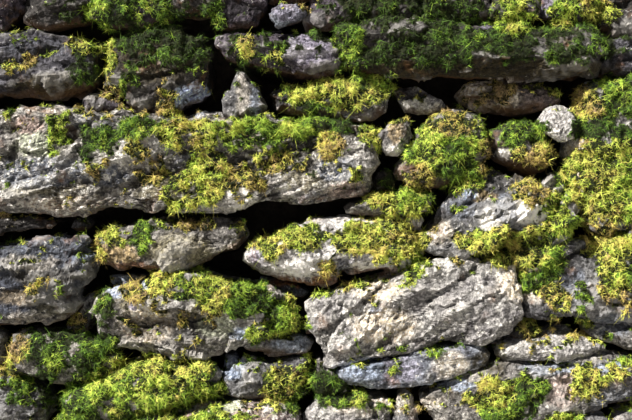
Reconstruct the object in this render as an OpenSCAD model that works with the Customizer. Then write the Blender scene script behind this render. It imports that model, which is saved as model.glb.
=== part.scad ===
// Double-faced dry stone wall: two battered faces of rough stone laid without mortar, packed with
// hearting, tied by through stones and end ties, and topped with cover slabs and upright copes.
// X runs along the wall, Y through it with the mossy face towards -Y, and Z up from the ground.

/* [Wall] */
// Length along the ground
wall_length = 2400; // [2390:5:2480]
// Height of the two faces, up to the cover slabs
face_height = 1300; // [1296:2:1320]
// Width through the wall at the ground
base_width = 720; // [680:10:800]
// Width through the wall under the cover slabs
top_width = 470; // [430:10:520]
// Width of the packed hearting at the ground
hearting_base = 250; // [200:10:280]
// Width of the packed hearting under the cover slabs
hearting_top = 110; // [90:10:140]

/* [Stones] */
// Gap between two stones laid side by side or one on the other
joint_gap = 12; // [8:1:18]
// Length along the wall of an end tie
tie_length = 240; // [220:5:245]
// How far the corners of a stone's outer face wander
wander = 7; // [0:1:10]
// Shortest stone of the back face
shortest_stone = 190; // [160:10:220]
// Longest stone of the back face
longest_stone = 400; // [300:10:480]

/* [Cover and copes] */
// Thickness of the cover slabs
cover_thickness = 48; // [35:1:70]
// How far the cover slabs stand past the faces
cover_overhang = 22; // [0:1:40]
// Tallest cope stone
cope_height = 195; // [140:5:240]
// Mean thickness of a cope stone along the wall
cope_thickness = 88; // [70:2:110]
// Lean of the copes along the wall, in degrees
cope_lean = 5; // [0:1:12]

/* [Hidden] */

// Sides of the wall, as signs of Y
FRONT = -1;
BACK = 1;
// Planes that a stone can reach to, counted from the middle of the wall
INNER = 1;
OUTER = 2;

half_length = wall_length / 2;
tie_face = half_length - tie_length;
cover_top = face_height + cover_thickness;
seat_gap = joint_gap / 2;

// A stone of either face is a list of these three
PROUD = 0;      // how far its face stands out of the wall's plane
ROUNDING = 1;   // how far its corners are worn
OUTLINE = 2;    // its corners, as X and Z

// How far a stone narrows towards the hearting
back_taper = 10;
// Most of the way to its middle that a corner of a stone is ever drawn in
corner_share = 0.6;
// The shoulder and the face of a stone, as shares of its rounding
shoulder_depth = 0.3;
shoulder_inset = 0.4;
face_inset = 1.1;
// How far the shoulder's corners wander, as a share of the face's
shoulder_wander = 0.5;
// Extra wander of the face's corners outwards and inwards, which breaks the face into flats
face_break = 1.5;

grey = [0.56, 0.54, 0.5];
pale = [0.7, 0.67, 0.61];
shade = [0.43, 0.41, 0.4];
mossy = [0.44, 0.48, 0.24];
soil = [0.2, 0.17, 0.14];

// Beds of the end stones, from the ground up, at the left end and at the right end
left_beds = [0, 172, 315, 425, 565, 705, 845, 985, 1160, face_height];
right_beds = [0, 230, 362, 445, 565, 690, 868, 1050, 1168, face_height];
course_count = len(left_beds) - 1;

// How far from the middle each course's runners stop, at the left end and at the right end
left_stops = [0, 890, 0, 957, 0, 957, 0, 957, 0];
right_stops = [0, 912, 0, 957, 0, 957, 0, 917, 0];

// Half of the wall's width, and of the hearting's, at a height
function half_width(z) = (base_width + (top_width - base_width) * z / face_height) / 2;
function half_hearting(z) = (hearting_base + (hearting_top - hearting_base) * z / face_height) / 2;
function plane(side, reach, z) = side * (reach == OUTER ? half_width(z) : half_hearting(z));

function middle(outline) = [for (p = outline) 1] * outline / len(outline);
function drawn_in(v, centre, inset) =
    v - sign(v - centre) * min(abs(v - centre) * corner_share, inset);

// One ring of a face stone: the outline drawn in by inset, at a distance out of the wall's plane.
// Its corners wander by loose. Here and below, a seed only picks a pattern.
function ring(outline, side, out, inset, loose, seed) =
    let (c = middle(outline), r = rands(-1, 1, 3 * len(outline), seed))
    [for (i = [0 : len(outline) - 1])
        let (x = drawn_in(outline[i][0], c[0], inset) + loose * r[3 * i],
             z = max(0, drawn_in(outline[i][1], c[1], inset) + loose * r[3 * i + 1]))
        [x, plane(side, OUTER, z) + side * (out + face_break * loose * min(r[3 * i + 2], 0.5)), z]];

// The ring on the hearting's plane, where a face stone is bedded
function bed_ring(outline, side) =
    let (c = middle(outline))
    [for (p = outline)
        let (x = drawn_in(p[0], c[0], back_taper), z = p[1] == 0 ? 0 : drawn_in(p[1], c[1], back_taper))
        [x, plane(side, INNER, z), z]];

// The rings that shape a stone's outer face: the widest one, its shoulder and the face itself
function face_rings(stone, side, seed) =
    let (worn = stone[ROUNDING], out = stone[PROUD])
    concat(
        ring(stone[OUTLINE], side, out - worn, 0, 0, seed),
        ring(stone[OUTLINE], side, out - worn * shoulder_depth, worn * shoulder_inset,
             wander * shoulder_wander, seed + 1),
        ring(stone[OUTLINE], side, out, worn * face_inset, wander, seed + 2));

module rock(points) {
    hull() polyhedron(points = points, faces = [[for (i = [0 : len(points) - 1]) i]]);
}

// A stone of one face, from the hearting out
module face_stone(stone, side, seed) {
    rock(concat(bed_ring(stone[OUTLINE], side), face_rings(stone, side, seed)));
}

module course(stones, side, seed) {
    for (i = [0 : len(stones) - 1]) face_stone(stones[i], side, seed + 10 * i);
}

// A through stone, with a seen end in each face
module through_stone(front_end, back_end, seed) {
    rock(concat(face_rings(front_end, FRONT, seed), face_rings(back_end, BACK, seed + 5)));
}

// A squared stone with cut corners. x, z: its lowest and highest. y: two planes as [side, reach].
// chamfer: how much its corners lose. loose: how far they wander in X, Y and Z.
module squared_stone(x, y, z, chamfer, loose, seed) {
    r = rands(-1, 0, 72, seed);
    rock([for (i = [0, 1], j = [0, 1], k = [0, 1], cut = [0 : 2])
        let (n = 3 * (12 * i + 6 * j + 3 * k + cut),
             inward = [1 - 2 * i, 1 - 2 * j, 1 - 2 * k],
             height = z[k] + inward[2] * ((cut == 2 ? 0 : chamfer) - loose[2] * r[n + 2]),
             across = plane(y[j][0], y[j][1], height))
        [x[i] + inward[0] * ((cut == 0 ? 0 : chamfer) - loose[0] * r[n]),
         across + inward[1] * ((cut == 1 ? 0 : chamfer) - loose[1] * r[n + 1]),
         height]]);
}

// The mossy face, laid from the ground up. Where a stone wears thick moss, its face stands out by it.
front_1 = [
    [30, 22, [[-948, 0], [-948, 145], [-920, 164], [-740, 162], [-708, 140], [-708, 0]]],
    [24, 20, [[-696, 0], [-696, 140], [-670, 160], [-520, 163], [-465, 148], [-462, 0]]],
    [66, 26, [[-450, 0], [-450, 176], [-430, 200], [-290, 232], [-180, 244], [-90, 240],
              [-46, 212], [-38, 0]]],
    [20, 20, [[-26, 0], [-26, 118], [0, 138], [160, 135], [190, 115], [190, 0]]],
    [28, 22, [[202, 0], [202, 130], [230, 148], [400, 160], [500, 158], [545, 130], [545, 0]]],
    [44, 24, [[557, 0], [557, 150], [590, 178], [650, 200], [715, 204], [745, 186], [745, 0]]],
    [26, 22, [[757, 0], [757, 192], [790, 214], [920, 220], [948, 202], [948, 0]]]
];
front_2 = [
    [6, 26, [[-878, 296], [-790, 308], [-695, 272], [-678, 232], [-690, 182], [-830, 184], [-878, 202]]],
    [40, 44, [[-655, 182], [-600, 245], [-540, 295], [-465, 333], [-380, 346], [-285, 344],
              [-258, 322], [-250, 264], [-440, 214]]],
    [8, 26, [[-238, 305], [-150, 312], [-90, 332], [-45, 349], [-22, 338], [-20, 264], [-60, 254],
             [-232, 258]]],
    [12, 16, [[-6, 300], [-4, 345], [10, 350], [30, 318], [68, 290], [76, 270], [30, 264], [-2, 267]]],
    [14, 22, [[-22, 152], [-18, 222], [10, 244], [80, 253], [170, 251], [192, 238], [190, 152]]],
    [10, 12, [[203, 212], [211, 258], [222, 268], [232, 260], [252, 218], [248, 168], [208, 168]]],
    [22, 28, [[264, 250], [310, 285], [400, 319], [485, 341], [640, 350], [790, 354], [900, 350],
              [900, 256], [790, 246], [650, 236], [572, 206], [460, 180], [305, 178]]]
];
front_3 = [
    [0, 24, [[-945, 327], [-940, 404], [-900, 415], [-800, 413], [-788, 395], [-788, 335], [-880, 324]]],
    [20, 36, [[-772, 345], [-764, 406], [-728, 417], [-650, 409], [-600, 396], [-520, 373],
              [-500, 350], [-518, 324], [-600, 290], [-655, 286], [-728, 300], [-770, 318]]],
    [-14, 14, [[-190, 376], [-165, 391], [-100, 398], [-40, 396], [-8, 383], [-28, 362], [-65, 359],
               [-130, 357], [-170, 363]]],
    [20, 14, [[50, 316], [72, 327], [123, 340], [200, 350], [235, 364], [310, 380], [372, 390],
              [410, 384], [434, 366], [430, 345], [360, 325], [285, 302], [210, 284], [138, 281],
              [86, 299]]],
    [6, 18, [[688, 419], [712, 430], [770, 434], [945, 430], [945, 374], [800, 372], [752, 393]]]
];
front_4 = [
    [14, 26, [[-945, 618], [-790, 625], [-728, 641], [-640, 649], [-582, 645], [-574, 595], [-584, 540],
              [-604, 492], [-640, 457], [-715, 438], [-790, 430], [-945, 430]]],
    [-16, 12, [[-634, 424], [-612, 452], [-594, 482], [-572, 504], [-560, 506], [-562, 450],
               [-575, 416], [-600, 411], [-625, 414]]],
    [27, 26, [[-546, 496], [-472, 513], [-352, 567], [-282, 561], [-165, 529], [-62, 484], [-46, 432],
              [-165, 409], [-262, 374], [-400, 362], [-505, 386], [-548, 420]]],
    [30, 16, [[-14, 490], [75, 520], [135, 545], [210, 562], [285, 583], [385, 600], [492, 607],
              [500, 540], [510, 455], [480, 420], [310, 400], [135, 356], [30, 335], [6, 390]]],
    [24, 22, [[508, 614], [572, 638], [648, 636], [740, 653], [790, 660], [945, 658], [945, 458],
              [790, 450], [650, 447], [535, 450], [516, 500]]]
];
front_5 = [
    [10, 14, [[-942, 656], [-790, 660], [-700, 670], [-650, 688], [-656, 699], [-790, 702], [-942, 700]]],
    [29, 44, [[-170, 600], [-160, 635], [-78, 680], [72, 697], [222, 685], [250, 664], [256, 625],
              [246, 592], [148, 575], [-2, 540], [-78, 550], [-138, 568]]],
    [28, 32, [[268, 650], [322, 730], [405, 810], [448, 820], [510, 804], [558, 788], [592, 748],
              [625, 695], [628, 656], [535, 648], [410, 620], [335, 609], [285, 616]]],
    [4, 12, [[582, 790], [612, 812], [628, 806], [646, 776], [660, 742], [664, 718], [645, 714],
             [622, 742], [598, 772]]]
];
front_6 = [
    [26, 26, [[-942, 714], [-942, 964], [-790, 972], [-640, 972], [-200, 951], [10, 941], [130, 922],
              [148, 910], [147, 850], [126, 760], [60, 747], [-90, 738], [-290, 731], [-490, 723],
              [-700, 713]]],
    [12, 24, [[70, 722], [92, 734], [128, 744], [150, 756], [222, 764], [262, 766], [286, 756],
             [292, 742], [272, 724], [210, 716], [110, 713], [78, 715]]],
    [26, 48, [[204, 815], [212, 838], [232, 862], [264, 888], [292, 935], [322, 966], [360, 978],
              [398, 966], [422, 948], [434, 900], [440, 862], [410, 832], [360, 802], [310, 782],
              [272, 776], [232, 785]]],
    [2, 34, [[455, 912], [485, 935], [545, 937], [575, 920], [598, 895], [612, 862], [606, 838],
             [572, 820], [535, 816], [485, 833], [455, 852]]],
    [37, 36, [[664, 1002], [674, 1024], [704, 1040], [790, 1045], [945, 1040], [945, 704], [800, 704],
              [725, 671], [700, 675], [680, 735], [662, 778], [640, 830], [642, 890]]]
];
front_7 = [
    [-6, 14, [[-216, 960], [-230, 1000], [-210, 1052], [-200, 1069], [-188, 1071], [-162, 1052],
              [-143, 1012], [-135, 970], [-142, 960]]],
    [-4, 30, [[-122, 1016], [-78, 1033], [-2, 1030], [48, 1043], [110, 1053], [178, 1047], [184, 1010],
              [176, 974], [135, 953], [-65, 958], [-106, 967]]],
    [-26, 20, [[196, 1029], [258, 1035], [298, 1023], [330, 1000], [334, 985], [310, 970], [262, 963],
               [226, 967], [212, 1000]]],
    [-10, 30, [[360, 1012], [382, 1039], [435, 1045], [535, 1045], [585, 1035], [624, 1010], [630, 997],
               [612, 985], [560, 961], [510, 955], [460, 965], [410, 989], [374, 996]]]
];
front_8 = [
    [6, 28, [[-942, 1009], [-942, 1133], [-790, 1140], [-735, 1163], [-640, 1151], [-562, 1139],
             [-553, 1100], [-557, 1050], [-600, 1023], [-665, 1015], [-790, 1007]]],
    [10, 36, [[-532, 1100], [-515, 1147], [-465, 1166], [-365, 1165], [-295, 1154], [-276, 1125],
              [-260, 1062], [-268, 1014], [-292, 992], [-340, 970], [-390, 965], [-465, 984],
              [-520, 1010], [-538, 1050]]],
    [42, 26, [[66, 1170], [160, 1184], [310, 1186], [460, 1182], [610, 1172], [698, 1160], [706, 1100],
              [698, 1060], [610, 1056], [410, 1056], [260, 1060], [110, 1069], [68, 1080]]],
    [18, 24, [[718, 1148], [790, 1158], [905, 1158], [905, 1064], [790, 1060], [722, 1062]]]
];
front_9 = [
    [4, 22, [[-942, 1288], [-752, 1288], [-748, 1212], [-790, 1184], [-942, 1180]]],
    [0, 20, [[-738, 1288], [-560, 1288], [-556, 1215], [-600, 1192], [-690, 1184], [-736, 1200]]],
    [8, 22, [[-546, 1288], [-382, 1288], [-378, 1208], [-440, 1188], [-530, 1186], [-548, 1205]]],
    [0, 18, [[-370, 1288], [-262, 1288], [-258, 1224], [-300, 1214], [-366, 1218]]],
    [4, 18, [[-250, 1288], [-130, 1288], [-126, 1215], [-150, 1186], [-245, 1184]]],
    [-14, 12, [[-118, 1288], [-22, 1288], [-18, 1254], [-60, 1250], [-115, 1254]]],
    [4, 20, [[-10, 1288], [78, 1288], [82, 1215], [50, 1194], [-8, 1184]]],
    [16, 22, [[92, 1288], [262, 1288], [264, 1222], [180, 1206], [96, 1208]]],
    [10, 20, [[274, 1288], [428, 1288], [430, 1218], [400, 1206], [277, 1208]]],
    [14, 22, [[440, 1288], [560, 1288], [560, 1208], [500, 1202], [442, 1210]]],
    [12, 24, [[572, 1288], [700, 1288], [702, 1194], [620, 1192], [574, 1200]]],
    [10, 24, [[716, 1288], [945, 1288], [945, 1186], [790, 1178], [720, 1180]]]
];

// Small stones wedged between the larger ones of the mossy face
pins = [
    [-28, 10, [[-236, 353], [-208, 354], [-198, 332], [-210, 318], [-234, 322]]],
    [-22, 8, [[-189, 337], [-170, 345], [-156, 340], [-154, 328], [-186, 322]]],
    [-20, 10, [[-30, 424], [-14, 436], [-8, 428], [-4, 408], [-26, 406]]],
    [-12, 7, [[438, 385], [444, 401], [462, 404], [470, 396], [456, 385]]],
    [6, 10, [[490, 413], [510, 429], [546, 433], [564, 418], [556, 405], [508, 401]]],
    [-24, 8, [[582, 417], [592, 431], [632, 429], [650, 416], [640, 407], [592, 406]]],
    [-44, 11, [[-532, 550], [-482, 555], [-432, 551], [-436, 543], [-476, 525], [-528, 512]]],
    [-52, 8, [[-138, 541], [-70, 533], [-22, 506], [-34, 496], [-62, 500], [-134, 530]]],
    [-34, 10, [[-630, 674], [-612, 692], [-590, 698], [-578, 684], [-586, 667], [-616, 663]]],
    [-8, 7, [[234, 697], [244, 708], [270, 711], [275, 700], [262, 681], [250, 683]]],
    [-24, 5, [[816, 668], [826, 678], [880, 687], [938, 694], [942, 668], [880, 666]]],
    [-34, 10, [[152, 800], [160, 812], [192, 812], [197, 796], [193, 776], [156, 775]]],
    [12, 16, [[162, 910], [184, 930], [218, 948], [236, 938], [242, 908], [226, 884], [205, 860],
              [176, 860], [166, 880]]],
    [34, 12, [[566, 940], [588, 968], [615, 970], [638, 956], [641, 935], [633, 910], [608, 905],
              [582, 923]]],
    [-4, 8, [[-582, 988], [-566, 1003], [-552, 1006], [-522, 993], [-492, 978], [-500, 973], [-575, 977]]],
    [16, 12, [[-112, 1224], [-92, 1240], [-48, 1232], [-28, 1214], [-62, 1197], [-95, 1183], [-110, 1196]]]
];

// Seen ends of the through stones in the mossy face, and the course of the back face that each reaches
throughs = [
    [[14, 12, [[450, 372], [473, 384], [510, 393], [610, 398], [700, 396], [722, 388], [733, 373],
               [720, 362], [635, 363], [535, 357], [480, 352], [458, 358]]], 3],
    [[16, 32, [[-558, 640], [-515, 670], [-452, 689], [-315, 699], [-235, 699], [-190, 686], [-174, 660],
               [-200, 616], [-365, 580], [-428, 572], [-503, 577], [-552, 592]]], 5],
    [[10, 22, [[-248, 1140], [-235, 1157], [-190, 1164], [-90, 1166], [10, 1164], [38, 1149], [50, 1112],
               [54, 1070], [10, 1056], [-40, 1060], [-115, 1078], [-190, 1103], [-238, 1119]]], 8]
];

function xs(outline) = [for (p = outline) p[0]];
function mix(a, b, part) = a + (b - a) * part;

// The back face is coursed. Its beds run from the left end's to the right end's, with a slight wave.
bed_wave = 9;
wave_turn = 0.31;
wave_shift = 77;
function bed(k, x) =
    let (part = (x + half_length) / wall_length)
    mix(left_beds[k], right_beds[k], part)
        + (k == 0 || k == course_count ? 0 : wave(part, x, k));
function wave(part, x, k) = bed_wave * sin(180 * part) * sin(x * wave_turn + wave_shift * k);

// Joints of one stretch of a course, each stone's length drawn from the seed. What is left at the
// end is one stone, or two halves where it is too long.
end_stone = 0.7 * shortest_stone;
last_stretch = 1.5 * shortest_stone;
longest_end = 1.15 * longest_stone;
function joints(from, to, seed) =
    let (len_here = rands(shortest_stone, longest_stone, 1, seed)[0])
    to - from < last_stretch || to - from - len_here < end_stone
        ? (to - from > longest_end ? [from, (from + to) / 2, to] : [from, to])
        : concat([from], joints(from + len_here, to, seed + 1));

// One coursed stone between two joints: four corners, each cut by a share that the seed draws, of
// its height and of its length up to a limit
corner_cut = [0.1, 0.32];
cut_limit = 150;
function coursed_outline(k, x0, x1, seed) =
    let (r = rands(corner_cut[0], corner_cut[1], 8, seed),
         left = x0 + seat_gap, right = x1 - seat_gap, cut = min(right - left, cut_limit),
         rise = bed(k, x0) - bed(k - 1, x0))
    concat(
        [[left, bed(k, left) - seat_gap - rise * r[0]],
         [left + cut * r[1], bed(k, left + cut * r[1]) - seat_gap],
         [right - cut * r[2], bed(k, right - cut * r[2]) - seat_gap],
         [right, bed(k, right) - seat_gap - rise * r[3]]],
        k == 1 ? [[right, 0], [left, 0]] :
        [[right, bed(k - 1, right) + seat_gap + rise * r[4]],
         [right - cut * r[5], bed(k - 1, right - cut * r[5]) + seat_gap],
         [left + cut * r[6], bed(k - 1, left + cut * r[6]) + seat_gap],
         [left, bed(k - 1, left) + seat_gap + rise * r[7]]]);

// Where the through stones come out in a course of the back face
through_set_in = [12, 35];
function through_spans(k) = [for (t = throughs) if (t[1] == k)
    [min(xs(t[0][OUTLINE])) + through_set_in[0], max(xs(t[0][OUTLINE])) - through_set_in[1]]];
function back_stretches(k) =
    let (start = -back_reach(k, left_stops), stop = back_reach(k, right_stops),
         spans = through_spans(k))
    len(spans) == 0 ? [[start, stop]] : [[start, spans[0][0]], [spans[0][1], stop]];
function back_reach(k, stops) = (stops[k - 1] == 0 ? tie_face : stops[k - 1]) - seat_gap;

// Least and most that a stone of the back face stands out, and that it is worn
back_proud = [-6, 26];
back_worn = [26, 50];
function back_stones(k) =
    [for (s = back_stretches(k))
        let (cuts = joints(s[0], s[1], 500 + 40 * k + (s[0] > 0 ? 7 : 0)))
        for (i = [0 : len(cuts) - 2])
            let (r = rands(0, 1, 2, 900 + 50 * k + i))
            [mix(back_proud[0], back_proud[1], r[0]), mix(back_worn[0], back_worn[1], r[1]),
             coursed_outline(k, cuts[i], cuts[i + 1], 700 + 50 * k + i)]];

// The back end of a through stone stands out and is worn by as much
through_proud = 30;
function through_back_end(t, seed) =
    let (span = through_spans(t[1])[0])
    [through_proud, through_proud, coursed_outline(t[1], span[0], span[1], seed)];

module front_course(k, stones, tone) {
    color(tone) course(stones, FRONT, 100 * k);
}

module back_course(k, tone) {
    color(tone) course(back_stones(k), BACK, 2000 + 100 * k);
}

module front_pins() {
    color(pale) course(pins, FRONT, 1500);
}

module through_stones() {
    color(grey) for (i = [0 : len(throughs) - 1])
        through_stone(throughs[i][0], through_back_end(throughs[i], 1700 + i), 1600 + 20 * i);
}

// The packed middle of the wall, as rubble close round the through stones
module hearting() {
    color(soil) difference() {
        translate([-tie_face, 0, 0]) rotate([90, 0, 90]) linear_extrude(2 * tie_face)
            polygon([[-half_hearting(0), 0], [half_hearting(0), 0],
                     [half_hearting(face_height), face_height],
                     [-half_hearting(face_height), face_height]]);
        through_stones();
    }
}

// The ends. A tie spans the whole width; between two ties, a runner lies along each face with a
// smaller stone between the runners. All of them are bedded flat. Each has cut corners, which wander
// in Y on a tie and in X on a runner.
tie_chamfer = 24;
tie_wander = [0, 12, 0];
runner_chamfer = 20;
runner_wander = [6, 0, 0];

module end_ties(beds, end, seed) {
    color(grey) for (k = [1 : 2 : course_count])
        squared_stone(along(end, tie_face), [[FRONT, OUTER], [BACK, OUTER]], [beds[k - 1], beds[k]],
                      tie_chamfer, tie_wander, seed + k);
}

module end_runners(beds, end, stops, seed) {
    color(pale) for (k = [2 : 2 : course_count], side = [FRONT, BACK])
        squared_stone(along(end, abs(stops[k - 1])),
                      side == FRONT ? [[FRONT, OUTER], [FRONT, INNER]] : [[BACK, INNER], [BACK, OUTER]],
                      [beds[k - 1], beds[k]], runner_chamfer, runner_wander, seed + 3 * k + side);
}

module end_fill(beds, end) {
    set_back = 25;
    round_by = 16;
    color(shade) for (k = [2 : 2 : course_count])
        rock([for (x = along(end, tie_face, set_back), side = [FRONT, BACK], up = [0, 1], cut = [0, 1])
            let (half = half_hearting(beds[k]) - joint_gap)
            [x, side * (half - cut * round_by), beds[k - 1 + up] + (1 - cut) * (1 - 2 * up) * round_by]]);
}

// The stretch from an end of the wall, set back from it, to a distance from the middle
function along(end, inner, set_back = 0) = let (outer = half_length - set_back)
    end < 0 ? [-outer, -inner] : [inner, outer];

// Flat slabs that close the top and tie the two faces, with cut corners and uneven long edges
slab_chamfer = 16;
slab_wander = 14;
module cover_slabs() {
    cuts = joints(-half_length, half_length, 61);
    half = half_width(face_height) + cover_overhang;
    color(grey) for (i = [0 : len(cuts) - 2]) {
        r = rands(0, slab_wander, 16, 3000 + i);
        x = [cuts[i] + (i == 0 ? 0 : seat_gap), cuts[i + 1] - (i == len(cuts) - 2 ? 0 : seat_gap)];
        rock([for (a = [0, 1], b = [0, 1], c = [0, 1], cut = [0, 1])
            let (n = 8 * a + 4 * b + 2 * c + cut)
            [x[a] + (1 - 2 * a) * cut * slab_chamfer,
             (2 * b - 1) * (half - r[n] - (1 - cut) * slab_chamfer),
             face_height + c * cover_thickness]]);
    }
}

// One cope: a half-round profile on the cover slabs, as thick as its place, with a knocked rim. Its
// shoulders are squarer than a true arc, and its outline is uneven in height and in width.
cope_rim = 16;
cope_steps = 6;
cope_fullness = 0.75;
cope_uneven = [0.05, 0.04];
module cope_stone(x0, x1, half, height, seed) {
    r = rands(-1, 1, 5 * (cope_steps + 1), seed);
    lean = tan(cope_lean);
    rock([for (s = [0 : 3], i = [0 : cope_steps])
        let (angle = 180 * i / cope_steps, inset = s == 0 || s == 3 ? cope_rim : 0,
             x = [x0, x0 + cope_rim, x1 - cope_rim, x1][s], n = (cope_steps + 1) * s + i,
             z = (height - inset) * pow(sin(angle), cope_fullness) * (1 + cope_uneven[0] * r[n]))
        [x + lean * z, (half - inset) * cos(angle) * (1 + cope_uneven[1] * r[n + cope_steps + 1]),
         cover_top + max(0, z)]]);
}

// The row of copes: gap between two, distance in from the slabs' end and from the faces, how much
// narrower the narrowest is, and the heights and thicknesses as shares of the given ones
cope_gap = 5;
cope_end_gap = 4;
cope_set_in = 14;
cope_narrowing = 34;
cope_heights = [0.76, 0.97];
cope_spread = [0.72, 1.28];
last_cope = 1.6 * cope_thickness;
module cope_stones() {
    lean_room = cope_height * tan(cope_lean);
    cuts = cope_cuts(-half_length + cope_end_gap, half_length - lean_room, 0);
    half = half_width(face_height) - cope_set_in;
    color(shade) for (i = [0 : len(cuts) - 2]) {
        r = rands(0, 1, 2, 4000 + i);
        cope_stone(cuts[i], cuts[i + 1] - cope_gap, half - cope_narrowing * r[0],
                   cope_height * mix(cope_heights[0], cope_heights[1], r[1]), 4100 + i);
    }
}

function cope_cuts(from, to, i) =
    let (thick = cope_thickness * rands(cope_spread[0], cope_spread[1], 1, 81 + i)[0])
    from + last_cope > to ? [from, to] : concat([from], cope_cuts(from + thick, to, i + 1));

hearting();
through_stones();
front_course(1, front_1, grey);  // front_course_1
front_course(2, front_2, mossy);  // front_course_2
front_course(3, front_3, pale);  // front_course_3
front_course(4, front_4, pale);  // front_course_4
front_course(5, front_5, mossy);  // front_course_5
front_course(6, front_6, mossy);  // front_course_6
front_course(7, front_7, grey);  // front_course_7
front_course(8, front_8, mossy);  // front_course_8
front_course(9, front_9, shade);  // front_course_9
front_pins();
back_course(1, grey);  // back_course_1
back_course(2, pale);  // back_course_2
back_course(3, grey);  // back_course_3
back_course(4, pale);  // back_course_4
back_course(5, grey);  // back_course_5
back_course(6, pale);  // back_course_6
back_course(7, grey);  // back_course_7
back_course(8, pale);  // back_course_8
back_course(9, shade);  // back_course_9
end_ties(left_beds, -1, 5000);  // left_end_ties
end_runners(left_beds, -1, left_stops, 5100);  // left_end_runners
end_fill(left_beds, -1);  // left_end_fill
end_ties(right_beds, 1, 5300);  // right_end_ties
end_runners(right_beds, 1, right_stops, 5400);  // right_end_runners
end_fill(right_beds, 1);  // right_end_fill
cover_slabs();
cope_stones();
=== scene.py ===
"""Dry stone wall of rough field stone, laid without mortar, under moss and lichen.

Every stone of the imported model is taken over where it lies: its plain shell is cut finer, its
corners are rounded, its surface is broken and weathered, and moss grows on it.
"""
import logging
import math
from collections.abc import Callable, Iterator
from dataclasses import dataclass, field
from enum import Enum

import bmesh
import bpy
import numpy as np
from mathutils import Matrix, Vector


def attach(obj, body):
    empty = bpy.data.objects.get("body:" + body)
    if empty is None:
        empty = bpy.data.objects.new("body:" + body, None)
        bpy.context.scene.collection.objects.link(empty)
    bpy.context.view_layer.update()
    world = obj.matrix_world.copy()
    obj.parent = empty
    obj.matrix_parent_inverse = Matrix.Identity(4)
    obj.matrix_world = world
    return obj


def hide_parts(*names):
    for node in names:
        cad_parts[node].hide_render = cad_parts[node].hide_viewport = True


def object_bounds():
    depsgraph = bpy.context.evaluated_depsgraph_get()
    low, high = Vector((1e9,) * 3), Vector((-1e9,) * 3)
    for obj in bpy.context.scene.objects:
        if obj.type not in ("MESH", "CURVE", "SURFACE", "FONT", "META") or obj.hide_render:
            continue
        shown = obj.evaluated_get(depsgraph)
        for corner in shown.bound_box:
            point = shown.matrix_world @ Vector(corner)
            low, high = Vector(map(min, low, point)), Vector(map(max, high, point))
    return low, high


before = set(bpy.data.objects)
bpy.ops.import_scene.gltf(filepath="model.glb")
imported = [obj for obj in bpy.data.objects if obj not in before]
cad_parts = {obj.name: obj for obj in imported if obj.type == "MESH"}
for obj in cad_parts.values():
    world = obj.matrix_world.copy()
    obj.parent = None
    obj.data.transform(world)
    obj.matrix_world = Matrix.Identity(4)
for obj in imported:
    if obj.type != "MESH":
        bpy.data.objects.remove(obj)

LOG = logging.getLogger("dry_stone_wall")
CAD_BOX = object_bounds()
MM = 0.001
CM = 0.01
# what lies lower stands on the ground and keeps its place
FOOT = 1 * MM


def linear(hex_colour: str) -> tuple[float, float, float, float]:
    """Turns a hex colour into linear light.

    Args:
        hex_colour: An sRGB colour such as "#8a8478".

    Returns:
        Linear red, green and blue, with an alpha of 1.
    """
    channels = [int(hex_colour[i:i + 2], 16) / 255 for i in (1, 3, 5)]
    return (*[c / 12.92 if c <= 0.04045 else ((c + 0.055) / 1.055) ** 2.4 for c in channels], 1.0)


def smooth_step(low: float, high: float, value: np.ndarray) -> np.ndarray:
    """Rises from 0 at low to 1 at high, level at both ends."""
    t = np.clip((value - low) / (high - low), 0.0, 1.0)
    return t * t * (3 - 2 * t)


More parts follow.
